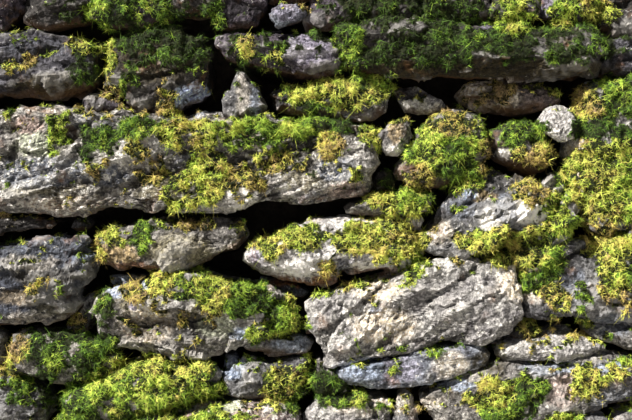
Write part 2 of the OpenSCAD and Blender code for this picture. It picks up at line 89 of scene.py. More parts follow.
@dataclass(frozen=True)
class Relief:
    """Random relief that can be read at any points, the same on every run.

    Attributes:
        seed: Chooses the pattern.
        gain: Brings gradient noise to about -1 to 1.
        run: How long the wave under the flat faces is, in faces.
        far: A distance beyond every neighbouring cell, in cells.
    """

    seed: int
    gain: float = 1.6
    run: float = 1.6
    far: float = 9.0

    def _hashed(self, cells: np.ndarray) -> np.ndarray:
        """Gives each whole-numbered cell a number from 0 to 255."""
        table = np.random.default_rng(self.seed).permutation(256)
        x, y, z = (cells[:, i] & 255 for i in range(3))
        return table[(table[(table[x] + y) & 255] + z) & 255]

    def _near(self, scaled: np.ndarray) -> Iterator[tuple[np.ndarray, np.ndarray]]:
        """Steps through the 27 cells at and about each point, and yields the cells and their numbers."""
        cell = np.floor(scaled).astype(np.int64)
        for step in np.ndindex(3, 3, 3):
            other = cell + np.array(step) - 1
            yield other, self._hashed(other)

    def waves(self, points: np.ndarray, size: float) -> np.ndarray:
        """Reads gradient noise.

        Args:
            points: An array of n points, in metres.
            size: The width of a bump, in metres.

        Returns:
            n values, mostly from -1 to 1.
        """
        spokes = np.random.default_rng(self.seed + 1).normal(size=(256, 3))
        spokes /= np.linalg.norm(spokes, axis=1)[:, None]
        scaled = points / size
        cell = np.floor(scaled).astype(np.int64)
        part = scaled - cell
        # eased, so that cells meet without a crease
        fade = part ** 3 * (part * (part * 6 - 15) + 10)
        total = np.zeros(len(points))
        for corner in np.ndindex(2, 2, 2):
            away = np.array(corner)
            weight = np.prod(np.where(away, fade, 1 - fade), axis=1)
            total += weight * np.einsum("ij,ij->i", spokes[self._hashed(cell + away)], part - away)
        return total * self.gain

    def layers(self, points: np.ndarray, size: float, count: int, keep: float = 0.5) -> np.ndarray:
        """Adds noise of ever finer size.

        Args:
            points: An array of n points, in metres.
            size: The width of the largest bumps, in metres.
            count: The number of layers, each half as wide as the last.
            keep: The height of a layer over that of the last.

        Returns:
            n values, mostly from -1 to 1.
        """
        total, height = np.zeros(len(points)), 1.0
        for i in range(count):
            total += height * Relief(self.seed + 11 * i).waves(points, size / 2 ** i)
            height *= keep
        return total

    def shaken(self, points: np.ndarray, reach: float, size: float, count: int = 1,
               keep: float = 0.5) -> np.ndarray:
        """Moves points about, so that what is read at them comes out ragged.

        Args:
            points: An array of n points, in metres.
            reach: How far they move, in metres.
            size, count, keep: The noise that moves them, as for layers.

        Returns:
            The moved points.
        """
        moves = [Relief(self.seed + i).layers(points, size, count, keep) for i in range(3)]
        return points + reach * np.stack(moves, axis=1)

    def chips(self, points: np.ndarray, size: float, slant: float = 0.35, bowl: float = 0.35,
              uneven: float = 0.3) -> np.ndarray:
        """Breaks a surface as blows do, into shallow bowls that meet in sharp arrises.

        Args:
            points: An array of n points, in metres.
            size: The width of a bowl, in metres.
            slant: How far the bowls tilt.
            bowl: How hollow they are.
            uneven: How far they differ in depth.

        Returns:
            n heights, from about -1 to 1.
        """
        rng = np.random.default_rng(self.seed + 2)
        spots, slants = rng.random((256, 3)), rng.normal(size=(256, 3)) * slant
        starts = rng.random(256) * uneven
        scaled = points / size
        lowest = np.full(len(points), self.far)
        for cell, key in self._near(scaled):
            offset = scaled - cell - spots[key]
            value = (starts[key] + np.einsum("ij,ij->i", offset, slants[key])
                     + bowl * np.einsum("ij,ij->i", offset, offset))
            lowest = np.minimum(lowest, value)
        stretch, lift = 2.5, 0.4
        return stretch * lowest + lift

    def flats(self, points: np.ndarray, size: float) -> np.ndarray:
        """Breaks a surface into flat faces that lie along a broad wave, with small steps between them.

        Args:
            points: An array of n points, in metres.
            size: The width of a face, in metres.

        Returns:
            n heights, mostly from -1 to 1.
        """
        spots = np.random.default_rng(self.seed + 4).random((256, 3))
        scaled = points / size
        nearest, middle = np.full(len(points), self.far), scaled.copy()
        for cell, key in self._near(scaled):
            spot = cell + spots[key]
            gap = np.einsum("ij,ij->i", scaled - spot, scaled - spot)
            closer = gap < nearest
            nearest = np.where(closer, gap, nearest)
            middle[closer] = spot[closer]
        middle *= size
        step = 0.5 * size
        height = level = self.waves(middle, self.run * size)
        for axis in range(3):
            ahead = middle.copy()
            ahead[:, axis] += step
            slope = (self.waves(ahead, self.run * size) - level) / step
            height = height + slope * (points - middle)[:, axis]
        return height

    def ledges(self, points: np.ndarray, thickness: float, stretch: float) -> np.ndarray:
        """Makes beds that stand out or lie back, each with its own slow run along the stone.

        Args:
            points: An array of n points, in metres, with z across the beds.
            thickness: A bed's thickness, in metres.
            stretch: How far a bed keeps its height, in metres.

        Returns:
            n heights, mostly from -1 to 1.
        """
        # in bed thicknesses: how far the beds sway, over what length, and the height of the slope between two
        sway, length, riser = 0.6, 9, 0.22
        wavy = points[:, 2] + sway * thickness * self.waves(points, length * thickness)
        number = np.floor(wavy / thickness)
        part = wavy / thickness - number
        # each bed reads the noise at a level of its own
        apart = 7.31
        run, beds = points[:, :2] / stretch, Relief(self.seed + 3)
        low, high = (beds.waves(np.column_stack([run, apart * (number + i)]), 1.0) for i in (0, 1))
        return low + (high - low) * smooth_step(0.0, riser, part)


@dataclass(frozen=True)
class WallShape:
    """The wall's outer planes, for telling how deep in a joint a point lies, and the known part of its front.

    Attributes:
        base_half, top_half: Half the thickness, at the ground and under the cover slabs.
        height, cover: The height under the cover slabs, and their thickness.
        cope_half, cope_top: Half the copes' width, and the height of their tops.
        half_length: Half the length.
        known_half, known_rise, known_middle: Half the width and half the height of the part of the front
            that is known stone by stone, and the height of its middle.
        known_front, marked_front: The places along y that this part and its marks lie in front of.
        unknown: How far outside that part everything behind the front counts as lying.
    """

    base_half: float = 0.36
    top_half: float = 0.235
    height: float = 1.3
    cover: float = 0.06
    cope_half: float = 0.215
    cope_top: float = 1.5
    half_length: float = 1.2
    known_half: float = 0.8
    known_rise: float = 0.535
    known_middle: float = 0.725
    known_front: float = -0.05
    marked_front: float = -0.1
    unknown: float = 0.5

    def depths(self, points: np.ndarray) -> np.ndarray:
        """Tells how far each of n points lies behind the nearest outer plane, in metres."""
        x, y, z = points.T
        half = np.where(z > self.height, self.cope_half,
                        self.base_half + (self.top_half - self.base_half) * z / self.height)
        depth = np.minimum(half - np.abs(y), self.half_length - np.abs(x))
        return np.where(z > self.height + self.cover, np.minimum(depth, self.cope_top - z), depth)

    def mapped(self, points: np.ndarray) -> np.ndarray:
        """Tells how far each of n points lies outside the known part of the front face, in metres."""
        x, y, z = points.T
        away = np.maximum(np.abs(x) - self.known_half, np.abs(z - self.known_middle) - self.known_rise)
        return np.where(y < self.known_front, np.maximum(away, 0.0), self.unknown)


WALL = WallShape()


class StoneTint(Enum):
    """The colours that the field stones weather to."""

    BUFF = "#94918b"
    PALE = "#b4b2ae"
    WHITE = "#dedcd8"
    GREY = "#787879"
    BLUE = "#747a83"
    STEEL = "#969ca6"
    ROSE = "#8b7f7b"
    LEAD = "#5c5b62"
    INK = "#444852"
    DARK = "#474442"
    PLUM = "#544d56"


@dataclass(frozen=True)
class Stone:
    """How one stone looks.

    Attributes:
        tint: Its colour.
        beds: How far its bedding stands out.
        dip: The slope of its bedding, up to the right.
        chips: How far it is broken.
        crust: How much pale crust it carries, up to 1.
    """

    tint: StoneTint = StoneTint.GREY
    beds: float = 0.5
    dip: float = 0.0
    chips: float = 1.0
    crust: float = 0.4


def laid(*rows: StoneTint | tuple) -> tuple[Stone, ...]:
    """Makes stones, each from its tint alone or from a tuple of its attributes, and returns them."""
    return tuple(Stone(*row) if isinstance(row, tuple) else Stone(row) for row in rows)


class Stain(Enum):
    """What colours a stone in places: its own minerals, lichens and rust, painted shade under overhangs and
    in gaps, and pale and blue-grey patches that are partly painted sunlight and skylight.
    """

    QUARTZ = "#f6f3ee"
    # bone white: pale stone, which on lit faces and edges also paints in sunlight
    BONE = "#ded5c6"
    # blue grey: partly the stone's own, partly painted skylight on top edges
    SKY = "#aab8cf"
    LILAC = "#9d98ab"
    SLATE = "#666b76"
    LICHEN = "#b9bfa6"
    ROSY = "#c9b2a8"
    TAN = "#b39c70"
    OLIVE = "#7d7552"
    IRON = "#8f5c2c"
    # dark brown: painted shade under overhanging stones and in the gaps between them
    DAMP = "#37301f"


@dataclass(frozen=True)
class Patch:
    """An oval on the front face, in centimetres from the wall's middle and the ground.

    Attributes:
        x, z: The centre.
        half_width, half_height: Its reach to each side.
    """

    x: float
    z: float
    half_width: float
    half_height: float

    def away(self, x: np.ndarray, z: np.ndarray, wider: float = 0.0) -> np.ndarray:
        """Tells how far points lie from the centre.

        Args:
            x, z: The places of n points, in metres.
            wider: How far the oval is widened, in metres.

        Returns:
            n squared distances, with 1 on the oval itself.
        """
        return (((x - self.x * CM) / (self.half_width * CM + wider)) ** 2
                + ((z - self.z * CM) / (self.half_height * CM + wider)) ** 2)


@dataclass(frozen=True)
class Mark(Patch):
    """A patch of another colour.

    Attributes:
        stain: What it is.
        strength: How far it hides the stone, up to 1.
    """

    stain: Stain
    strength: float = 0.8


def front_marks() -> tuple[Mark, ...]:
    """Places the marks on the front face, course by course from the top, and returns them."""
    # the blue-grey stain is partly the stones' own, partly painted skylight on top edges
    # the bone-white stain is pale stone, and where it brightens lit faces and edges it is painted sunlight
    # the dark brown stain is painted shade, under overhanging stones and in gaps
    quartz, pale_and_sunlit, sky, lilac, slate, lichen, rosy, tan, olive, iron, painted_shade = Stain
    rows = (
        # top courses
        (-7, 122, 4.5, 2.5, lilac, 0.6), (57, 123, 3.5, 2.5, lilac, 0.6), (-70, 113, 9, 2, slate, 0.3),
        (-62, 103.5, 14, 3, painted_shade, 1.0), (-31, 100, 5, 3.5, sky, 1.0), (-2, 113, 6, 4, lilac, 0.7),
        (42.5, 115, 2.5, 3, lilac), (38, 107.6, 36, 2.6, painted_shade, 1.0), (-40, 110, 10, 6, painted_shade),
        (-18.5, 101, 1.8, 5.5, pale_and_sunlit, 0.4), (-14.5, 99, 1.8, 5, sky, 0.3), (-12.5, 101, 2, 6, painted_shade),
        (43, 101, 8, 4, pale_and_sunlit, 0.9), (65, 84, 1.5, 8, pale_and_sunlit),
        # the long stone
        (-71.5, 93.5, 3.5, 2.5, rosy), (-70, 88.5, 5, 3, lichen), (-57, 94.5, 7, 1.8, slate, 0.6),
        (-68, 82, 12, 4, slate, 0.9), (-52, 81, 6, 2.5, slate, 0.9), (-33, 84, 3, 4, slate, 0.5),
        (-66, 78, 9, 2, olive, 0.5), (-40, 78, 7, 3, olive, 0.5), (-3, 80, 5, 2.5, olive, 0.5),
        (-60, 74.5, 14, 2, pale_and_sunlit, 0.7), (-48.5, 75, 3.5, 4, quartz, 0.7),
        (-18.5, 75.5, 3.5, 2.5, quartz, 0.7), (-6, 77, 3, 2, quartz, 0.6), (-1, 75, 4, 2, slate, 0.5),
        (7.5, 77.5, 4.5, 2.5, rosy, 0.7), (7, 91.5, 5, 3, painted_shade, 0.55), (5, 83, 5, 3, slate, 0.9),
        (-9, 71.3, 15, 1.5, painted_shade),
        # small stones beside it
        (20, 91.5, 2, 3, tan, 0.7), (20, 86.5, 3, 2, quartz, 0.6), (8, 72.5, 2, 1.6, quartz),
        (47.5, 86.5, 1.6, 1.6, quartz, 0.7), (53.5, 82, 9, 2.4, painted_shade, 0.85), (34, 79, 7, 1.4, painted_shade, 0.7),
        # quartz on the boulder at the right
        (42.5, 70, 2.4, 3, quartz, 0.7), (53.5, 73, 5, 4, quartz, 1.0), (38, 77.5, 2.5, 2.5, sky),
        (41.5, 76.3, 4, 1.2, tan, 0.7), (36, 73, 4, 2.4, slate), (46.5, 72.5, 2.6, 4, slate, 0.9),
        (30.5, 67, 3.5, 3, pale_and_sunlit, 0.7),
        # the fifth course
        (-50, 61.5, 6, 2.5, tan), (-34, 62.5, 8, 4, olive, 0.6), (-22, 62.5, 2.5, 1.5, pale_and_sunlit, 0.6),
        (-47, 58.3, 8, 1.3, iron, 0.5), (-15.5, 62, 1.8, 4, lilac, 0.6), (-6, 58, 6, 2.6, quartz),
        (7, 58.5, 2, 2.5, slate, 0.7), (12.5, 58.8, 3.5, 1.6, quartz, 0.7), (-3, 53.7, 9, 1.6, iron, 0.85),
        (6, 54.8, 7, 1.6, iron, 0.85), (15, 56.9, 6, 1, iron, 0.6), (15, 53, 6, 2.6, pale_and_sunlit),
        # the slabs at the left
        (-66, 63.5, 14, 2.6, slate, 0.6), (-58.5, 62, 2.5, 3, sky, 0.4), (-71, 60, 7, 2.5, pale_and_sunlit, 0.3),
        (-66.5, 56, 10, 1.6, painted_shade, 0.6), (-74, 51, 6, 2, tan, 0.3), (-63, 50, 5, 2.5, painted_shade, 0.4),
        (-70, 45, 9, 2.2, pale_and_sunlit, 0.4), (-50, 53.5, 2.8, 2.8, sky, 0.85), (-42.5, 54, 2.5, 1.5, sky, 0.7),
        (-44, 49.5, 2.5, 1.8, lilac, 0.7), (-42, 44.5, 7, 5, pale_and_sunlit), (-44, 51, 6, 3, olive, 0.5),
        (-27, 47, 7, 3, olive, 0.4), (-65, 47.5, 6, 2, olive, 0.4), (-32.5, 45, 1.8, 4, slate, 0.3),
        (-25, 44, 5, 3, lichen, 0.7), (-18.5, 42, 3.5, 1.6, sky), (-6, 38.5, 5, 2, sky, 0.6),
        # the split slab and the pale one under it
        (52, 55, 7, 5, pale_and_sunlit), (64, 54, 3, 4.5, slate, 0.9), (17, 44, 8, 4.5, pale_and_sunlit), (74, 44, 5, 3.5, slate),
        (14.5, 46.5, 1.8, 2.5, sky, 0.7), (10, 48, 4, 1.2, quartz, 0.5), (11, 33, 6, 3, sky, 0.7),
        (21, 33, 5, 3, lilac, 0.6), (33.5, 34, 4.5, 3.5, pale_and_sunlit, 0.7),
        # lowest stones
        (-21, 33, 3, 3, sky), (33, 29, 6, 1.4, sky, 0.7), (17, 24.5, 14, 3, pale_and_sunlit, 0.6),
        (60, 33.5, 9, 1.4, sky, 0.4), (43, 34.5, 5, 3.5, painted_shade, 0.95), (73, 33.5, 4, 1.2, sky),
        (61, 28, 5, 4, rosy, 0.5), (74, 25, 6, 4, slate, 0.7), (-26, 22, 14, 2.6, rosy),
        (-22, 24, 4, 1.2, lichen, 0.9),
    )
    return tuple(Mark(*row) for row in rows)


FRONT_MARKS = front_marks()


def marked(points: np.ndarray) -> np.ndarray:
    """Reads the marks on the front face at n points, as n colours with the strength for their alpha."""
    x, _, z = Relief(81).shaken(points, 8 * MM, 26 * MM, 3, 0.7).T
    front = points[:, 1] < WALL.marked_front
    # squared distances: a mark starts to fade at the first and is gone at the second
    whole, gone = 0.6, 1.5
    colours = np.zeros((len(points), 4))
    for mark in FRONT_MARKS:
        here = mark.strength * smooth_step(gone, whole, mark.away(x, z)) * front
        stronger = here > colours[:, 3]
        colours[stronger] = linear(mark.stain.value)
        colours[:, 3] = np.where(stronger, here, colours[:, 3])
    return colours


class Growth(Enum):
    """The colours of moss, by where they stand on a scale from dark moss with painted shade through fresh to
    dry.
    """

    DEEP = 0.04
    GREEN = 0.25
    FRESH = 0.42
    YELLOW = 0.6
    GOLD = 0.8
    DRY = 1.0


@dataclass(frozen=True)
class MossPatch(Patch):
    """A patch of moss.

    Attributes:
        growth: Its colour.
        cover: How close it grows, up to 1.
    """

    growth: Growth
    cover: float = 1.0


@dataclass(frozen=True)
class MossMap:
    """Where moss grows: patches on the front face, and by rule everywhere else.

    Attributes:
        patches: The patches.
        margin: How far outside the known part of the front they still hold, in metres.
        wider: How far each is widened, in metres.
        edge: The amounts at which moss starts and is whole.
        inside: The depths in a joint where moss is gone and where it is whole, in metres.
    """

    patches: tuple[MossPatch, ...]
    margin: float = 0.02
    wider: float = 0.006
    edge: tuple[float, float] = (0.45, 0.8)
    inside: tuple[float, float] = (0.075, 0.03)

    def cover(self, points: np.ndarray, normals: np.ndarray,
              raised: np.ndarray) -> tuple[np.ndarray, np.ndarray]:
        """Reads the moss at each point.

        Args:
            points: An array of n points, in metres.
            normals: The surface normals there.
            raised: How far each lies above or below the surface about it, up to 1.

        Returns:
            How thick the moss is, from 0 to 1, and its colour on the growth scale.
        """
        x, _, z = points.T
        up = normals[:, 2]
        mapped = WALL.mapped(points) <= self.margin
        # away from the patches, more on what faces up and on the copes
        broad = Relief(31).layers(points, 170 * MM, 2)
        wild = 0.16 + 0.42 * up + 0.55 * broad + 0.1 * (z > WALL.height)
        near = 0.02 + 0.2 * np.clip(up, 0, 1)
        growth = 0.5 + 0.5 * Relief(37).layers(points, 130 * MM, 2)
        # a patch is full about its centre and thins out to nothing at twice its squared reach
        most, centre, thinning = 1.1, 1.35, 0.7
        pull = np.zeros(len(points))
        for patch in self.patches:
            here = np.clip(centre - thinning * patch.away(x, z, self.wider), 0, most)
            here = patch.cover * here * mapped
            near = np.maximum(near, here)
            growth = np.where(here > pull, patch.growth.value + 0.22 * (growth - 0.5), growth)
            pull = np.maximum(pull, here)
        # ragged edges, less on what stands out, and none deep in the joints
        amount = np.where(mapped, near, wild) + 0.22 * up - 0.12 * raised
        ragged = amount + 0.6 * Relief(41).layers(points, 42 * MM, 4, 0.75)
        thick = smooth_step(*self.edge, ragged) * smooth_step(*self.inside, WALL.depths(points))
        # the colour varies from tuft to tuft too
        growth += 0.2 * Relief(43).layers(points, 32 * MM, 2) + 0.2 * Relief(47).waves(points, 11 * MM)
        return thick, np.clip(growth, 0, 1)


def front_moss() -> MossMap:
    """Places the moss on the front face, course by course from the top, and returns its map."""
    # deep moss is dark moss with painted shade, on the shaded top courses and in bands under overhangs
    deep, green, fresh, yellow, gold, dry = Growth
    rows = (
        # top course
        (-64, 121, 3, 3, deep, 0.5), (-55, 121, 4, 5, fresh, 0.85), (-45, 121, 16, 5, deep, 0.7),
        (-41.5, 121.5, 6, 4.5, fresh, 0.8), (-26, 121.5, 3, 4.5, green, 0.8), (13, 122, 9, 4, deep, 0.8),
        (32, 122, 9, 3, deep, 0.9), (49.5, 120, 5, 4.5, fresh), (62, 121, 3.5, 3.5, fresh),
        (70, 122, 5, 4, yellow, 0.9),
        # second course down
        (-74.5, 109, 3, 2.5, gold, 0.6), (-56, 115, 4.5, 3, yellow, 0.85),
        (-52.5, 109.5, 2, 4.5, yellow, 0.9), (-58, 107, 2.5, 3.5, deep, 0.6),
        (-52, 102.5, 2.5, 3, gold, 0.7), (-46.5, 104.5, 2, 3, green, 0.8), (-39, 113, 11, 4, deep, 0.8),
        (-37.5, 100, 2, 4.5, gold, 0.6), (-27, 101.5, 1.5, 2, yellow, 0.6), (-17, 111, 8, 4.5, deep, 0.6),
        (-17, 113, 2.5, 2.5, gold, 0.75), (-11, 109.5, 3, 2.5, yellow, 0.65), (8, 112, 4, 7, green, 0.85),
        (18, 113, 6, 4, deep, 0.7), (40, 113, 37, 4, deep, 0.75), (31, 113, 9, 4, deep, 0.85),
        (47.5, 113, 3, 3.5, gold, 0.7), (56, 113, 6, 4, green, 0.7), (67, 114, 4, 3.5, green, 0.7),
        # third course
        (6, 102, 12, 3.5, yellow), (14, 104, 6, 2.5, fresh), (0, 98.5, 4, 2.5, green, 0.85),
        (43.5, 101.5, 6, 2.5, dry, 0.5), (68, 98.5, 3, 3.5, gold, 0.9), (75, 100, 4.5, 5, green, 0.95),
        # the big boulder at the right edge
        (72, 80, 8, 13, yellow, 0.95), (72, 92.5, 7, 2.5, deep), (68, 82, 3.5, 8, yellow),
        (73, 85, 2.5, 5, green, 0.95), (77, 80, 3, 10, fresh), (71, 69, 4, 4, gold, 0.85),
        # the long stone
        (-64, 91, 2.2, 5, fresh, 0.85), (-53, 89.5, 5, 3.5, green, 0.85), (-55, 86.5, 3, 2, deep, 0.7),
        (-53.5, 83, 3, 3, gold, 0.7), (-43.5, 89, 3.5, 6, gold, 0.75), (-44, 92.5, 4, 2.5, green, 0.95),
        (-41.5, 84, 3.5, 5, gold, 0.65), (-32, 91, 8, 3, yellow, 0.95), (-27, 80.5, 4.5, 6.5, yellow),
        (-34, 76.5, 4, 3.5, yellow, 0.8), (-16, 91, 8, 3, fresh, 0.95), (-4, 93, 5, 2, fresh, 0.9),
        (5, 94, 4, 1.5, deep, 0.8), (-13, 86, 2, 4, yellow, 0.7), (-8, 83.5, 4, 3.5, gold, 0.6),
        (-18, 79.5, 4, 3.5, gold, 0.75), (3.5, 88, 2.5, 3, gold, 0.7), (8.5, 81.5, 3.5, 1.5, yellow, 0.6),
        (13.5, 90, 1.8, 2.2, yellow, 0.9),
        # boulders at the middle right
        (18, 79, 2.5, 2.5, deep, 0.5), (17, 74, 3.5, 2.5, yellow, 0.9), (24, 74.5, 4.5, 2.5, fresh),
        (34, 86.5, 10, 8, fresh, 0.9), (34, 93, 5, 3, gold, 0.95), (34, 88, 5, 4, green, 0.95),
        (41, 86, 3, 4.5, gold, 0.9), (27, 81, 3.5, 3.5, gold, 0.9), (35, 83, 6, 3, green, 0.95),
        (52.5, 91.5, 5, 3, green, 0.95), (55, 86.5, 5, 2.2, gold, 0.85), (53, 77, 5, 1.8, gold, 0.8),
        (60, 70, 4, 6.5, fresh, 0.9), (48, 65, 12, 3.2, yellow, 0.95), (62, 78, 3, 2.5, green, 0.4),
        # fifth course
        (-52, 66.5, 3.5, 2, yellow, 0.8), (-53.5, 62.5, 1.5, 3, gold, 0.7), (-43, 65.5, 1.6, 3, green, 0.8),
        (-31, 69, 4.5, 1.2, gold, 0.8), (-12, 63.5, 3.5, 2.5, yellow, 0.8), (-4, 66, 5, 2.5, yellow, 0.95),
        (3, 59, 2, 3.5, gold, 0.7), (12, 65.5, 7, 3, yellow), (20, 64, 6, 4.5, yellow),
        (24, 60, 3, 3, fresh, 0.85),
        # the slabs at the left
        (-69, 53.5, 2.5, 3, gold, 0.5), (-64, 53.5, 2, 1.5, yellow, 0.5), (-61.5, 43.5, 1.5, 2, gold, 0.7),
        (-46, 52, 4, 1, gold, 0.85), (-38, 54.5, 5, 2.5, yellow), (-31, 53.5, 4.5, 2.5, fresh),
        (-25, 51.5, 4, 3.5, yellow), (-18, 50, 5, 3.5, green), (-12, 48.5, 3, 2.5, green, 0.95),
        (-38, 50, 2.5, 2.5, gold, 0.7), (-33, 46.5, 1.2, 3, gold, 0.6), (-26, 47, 3, 2.5, gold, 0.65),
        (-14, 43.5, 3, 2.5, fresh, 0.8), (-7.5, 44.5, 4.2, 2.6, fresh), (-52.5, 49, 1.5, 2, green, 0.85),
        (-52.5, 44, 1, 4, deep, 0.6), (-52.5, 40, 2.5, 2, green, 0.9), (-46.5, 42, 1.5, 2, gold, 0.5),
        # the split slab's neighbour
        (47, 60.8, 3.5, 1.6, yellow, 0.85), (54, 61.5, 6, 3, yellow), (58, 60, 3, 3.5, green),
        (56, 56, 4, 2.5, green, 0.85), (58.5, 53, 2.5, 3, gold, 0.8), (60.5, 49.5, 2.2, 3.5, yellow, 0.8),
        (66, 50.5, 2, 4, green, 0.7), (67, 47.5, 1.2, 3, yellow, 0.7), (75, 62.5, 5, 4, yellow),
        (73.5, 57, 2.5, 5, yellow, 0.9), (78, 58, 2, 4, green, 0.9), (77, 52, 2, 4, gold, 0.8),
        (71, 53.5, 1.5, 3, gold, 0.6), (54, 42.8, 2.5, 1, yellow, 0.9),
        # low stones
        (-66, 36, 11, 5, deep, 0.7), (-74, 37.5, 3.5, 2.5, dry, 0.8), (-76, 33, 2.5, 3, gold, 0.7),
        (-70, 36.5, 2.5, 2.5, gold, 0.5), (-65, 35.5, 2.5, 4.5, fresh, 0.9),
        (-57, 36.5, 3.5, 4, green, 0.85), (-75, 28, 4, 3, green, 0.6), (-45, 28, 18, 7, fresh, 0.9),
        (-60, 24, 8, 5, green), (-50, 33, 5, 3, yellow), (-49, 27, 6, 6, fresh, 0.95),
        (-42, 32.5, 4, 3.5, yellow), (-40, 26, 5, 4, deep, 0.85), (-33, 32, 5, 4, yellow),
        (-34, 26.5, 5, 3, deep, 0.75), (-46, 22, 8, 2.5, green, 0.8), (-8, 29, 4.5, 3.5, yellow),
        (-5, 25.5, 2.5, 2.5, green, 0.9), (3, 28, 4, 3.5, deep), (-2, 31, 2, 3, fresh, 0.9),
        (6, 25.5, 6, 1.8, fresh, 0.75), (44, 27, 6, 3.5, yellow), (47, 23, 5, 4, green, 0.95),
        (52.5, 27, 4, 4, green, 0.85), (67.5, 30, 3.5, 3.5, yellow, 0.85), (69, 26, 2.5, 2.5, gold, 0.7),
        (74, 31.5, 2.5, 1.2, yellow, 0.7), (61.5, 21, 5, 1.5, fresh, 0.9), (-30, 22, 12, 1.5, fresh, 0.5),
    )
    return MossMap(tuple(MossPatch(*row) for row in rows))


FRONT_MOSS = front_moss()


class Shader:
    """A material under construction, with one way of adding a node."""

    def __init__(self, name: str, tree: bpy.types.NodeTree | None = None) -> None:
        """Starts an empty material.

        Args:
            name: The material's name.
            tree: The world's nodes, when it is for the world.
        """
        if tree is None:
            self.material = bpy.data.materials.new(name)
            self.material.use_nodes = True
            tree = self.material.node_tree
        self.tree = tree
        self.tree.nodes.clear()

    def add(self, kind: str, settings: dict | None = None, out: int | str = 0,
            **inputs: object) -> bpy.types.NodeSocket | None:
        """Adds a node with its settings and links.

        Args:
            kind: The node's type name, without "ShaderNode".
            settings: Its properties by name, and a colour ramp's "stops", each a place and a hex colour.
            out: The output to return, by name or number.
            **inputs: Its sockets, by name with spaces as underscores or as i0, i1 for a number, each a
                value or the output socket to link.

        Returns:
            The output socket, or None from a node that has none.
        """
        node = self.tree.nodes.new("ShaderNode" + kind)
        for key, value in (settings or {}).items():
            if key != "stops":
                setattr(node, key, value)
                continue
            while len(node.color_ramp.elements) < len(value):
                node.color_ramp.elements.new(1.0)
            for element, (place, colour) in zip(node.color_ramp.elements, value):
                element.position, element.color = place, linear(colour)
        for key, value in inputs.items():
            number = key[1:] if key[0] == "i" and key[1:].isdigit() else None
            socket = node.inputs[int(number)] if number else node.inputs[key.replace("_", " ")]
            if isinstance(value, bpy.types.NodeSocket):
                self.tree.links.new(value, socket)
            else:
                socket.default_value = value
        return node.outputs[out] if len(node.outputs) else None

    def finish(self, **inputs: object) -> bpy.types.Material:
        """Closes the material with a surface shader.

        Args:
            **inputs: Sockets of the surface shader.

        Returns:
            The material.
        """
        self.add("OutputMaterial", Surface=self.add("BsdfPrincipled", **inputs))
        return self.material


MIX = {"data_type": "RGBA"}
TIMES = {"data_type": "RGBA", "blend_type": "MULTIPLY"}
OVERLAY = {"data_type": "RGBA", "blend_type": "OVERLAY"}
EASED = {"interpolation_type": "SMOOTHSTEP"}
SCALED = {"operation": "MULTIPLY"}
SCALED_PLUS = {"operation": "MULTIPLY_ADD"}
LESS = {"operation": "SUBTRACT"}
DOT = {"operation": "DOT_PRODUCT"}
# a pattern's widest spots in millimetres, its number of finer layers, and how strong those are
Pattern = tuple[float, float, float]
# a colour ramp's stops, each a place and a hex colour
Ramp = tuple[tuple[float, str], ...]
# its darkest stop is dark moss with painted shade
MOSS_SCALE: Ramp = ((0.0, "#232d14"), (0.22, "#5f852c"), (0.42, "#a8c845"), (0.62, "#e2e86c"),
                    (0.82, "#d8c068"), (1.0, "#a8906a"))


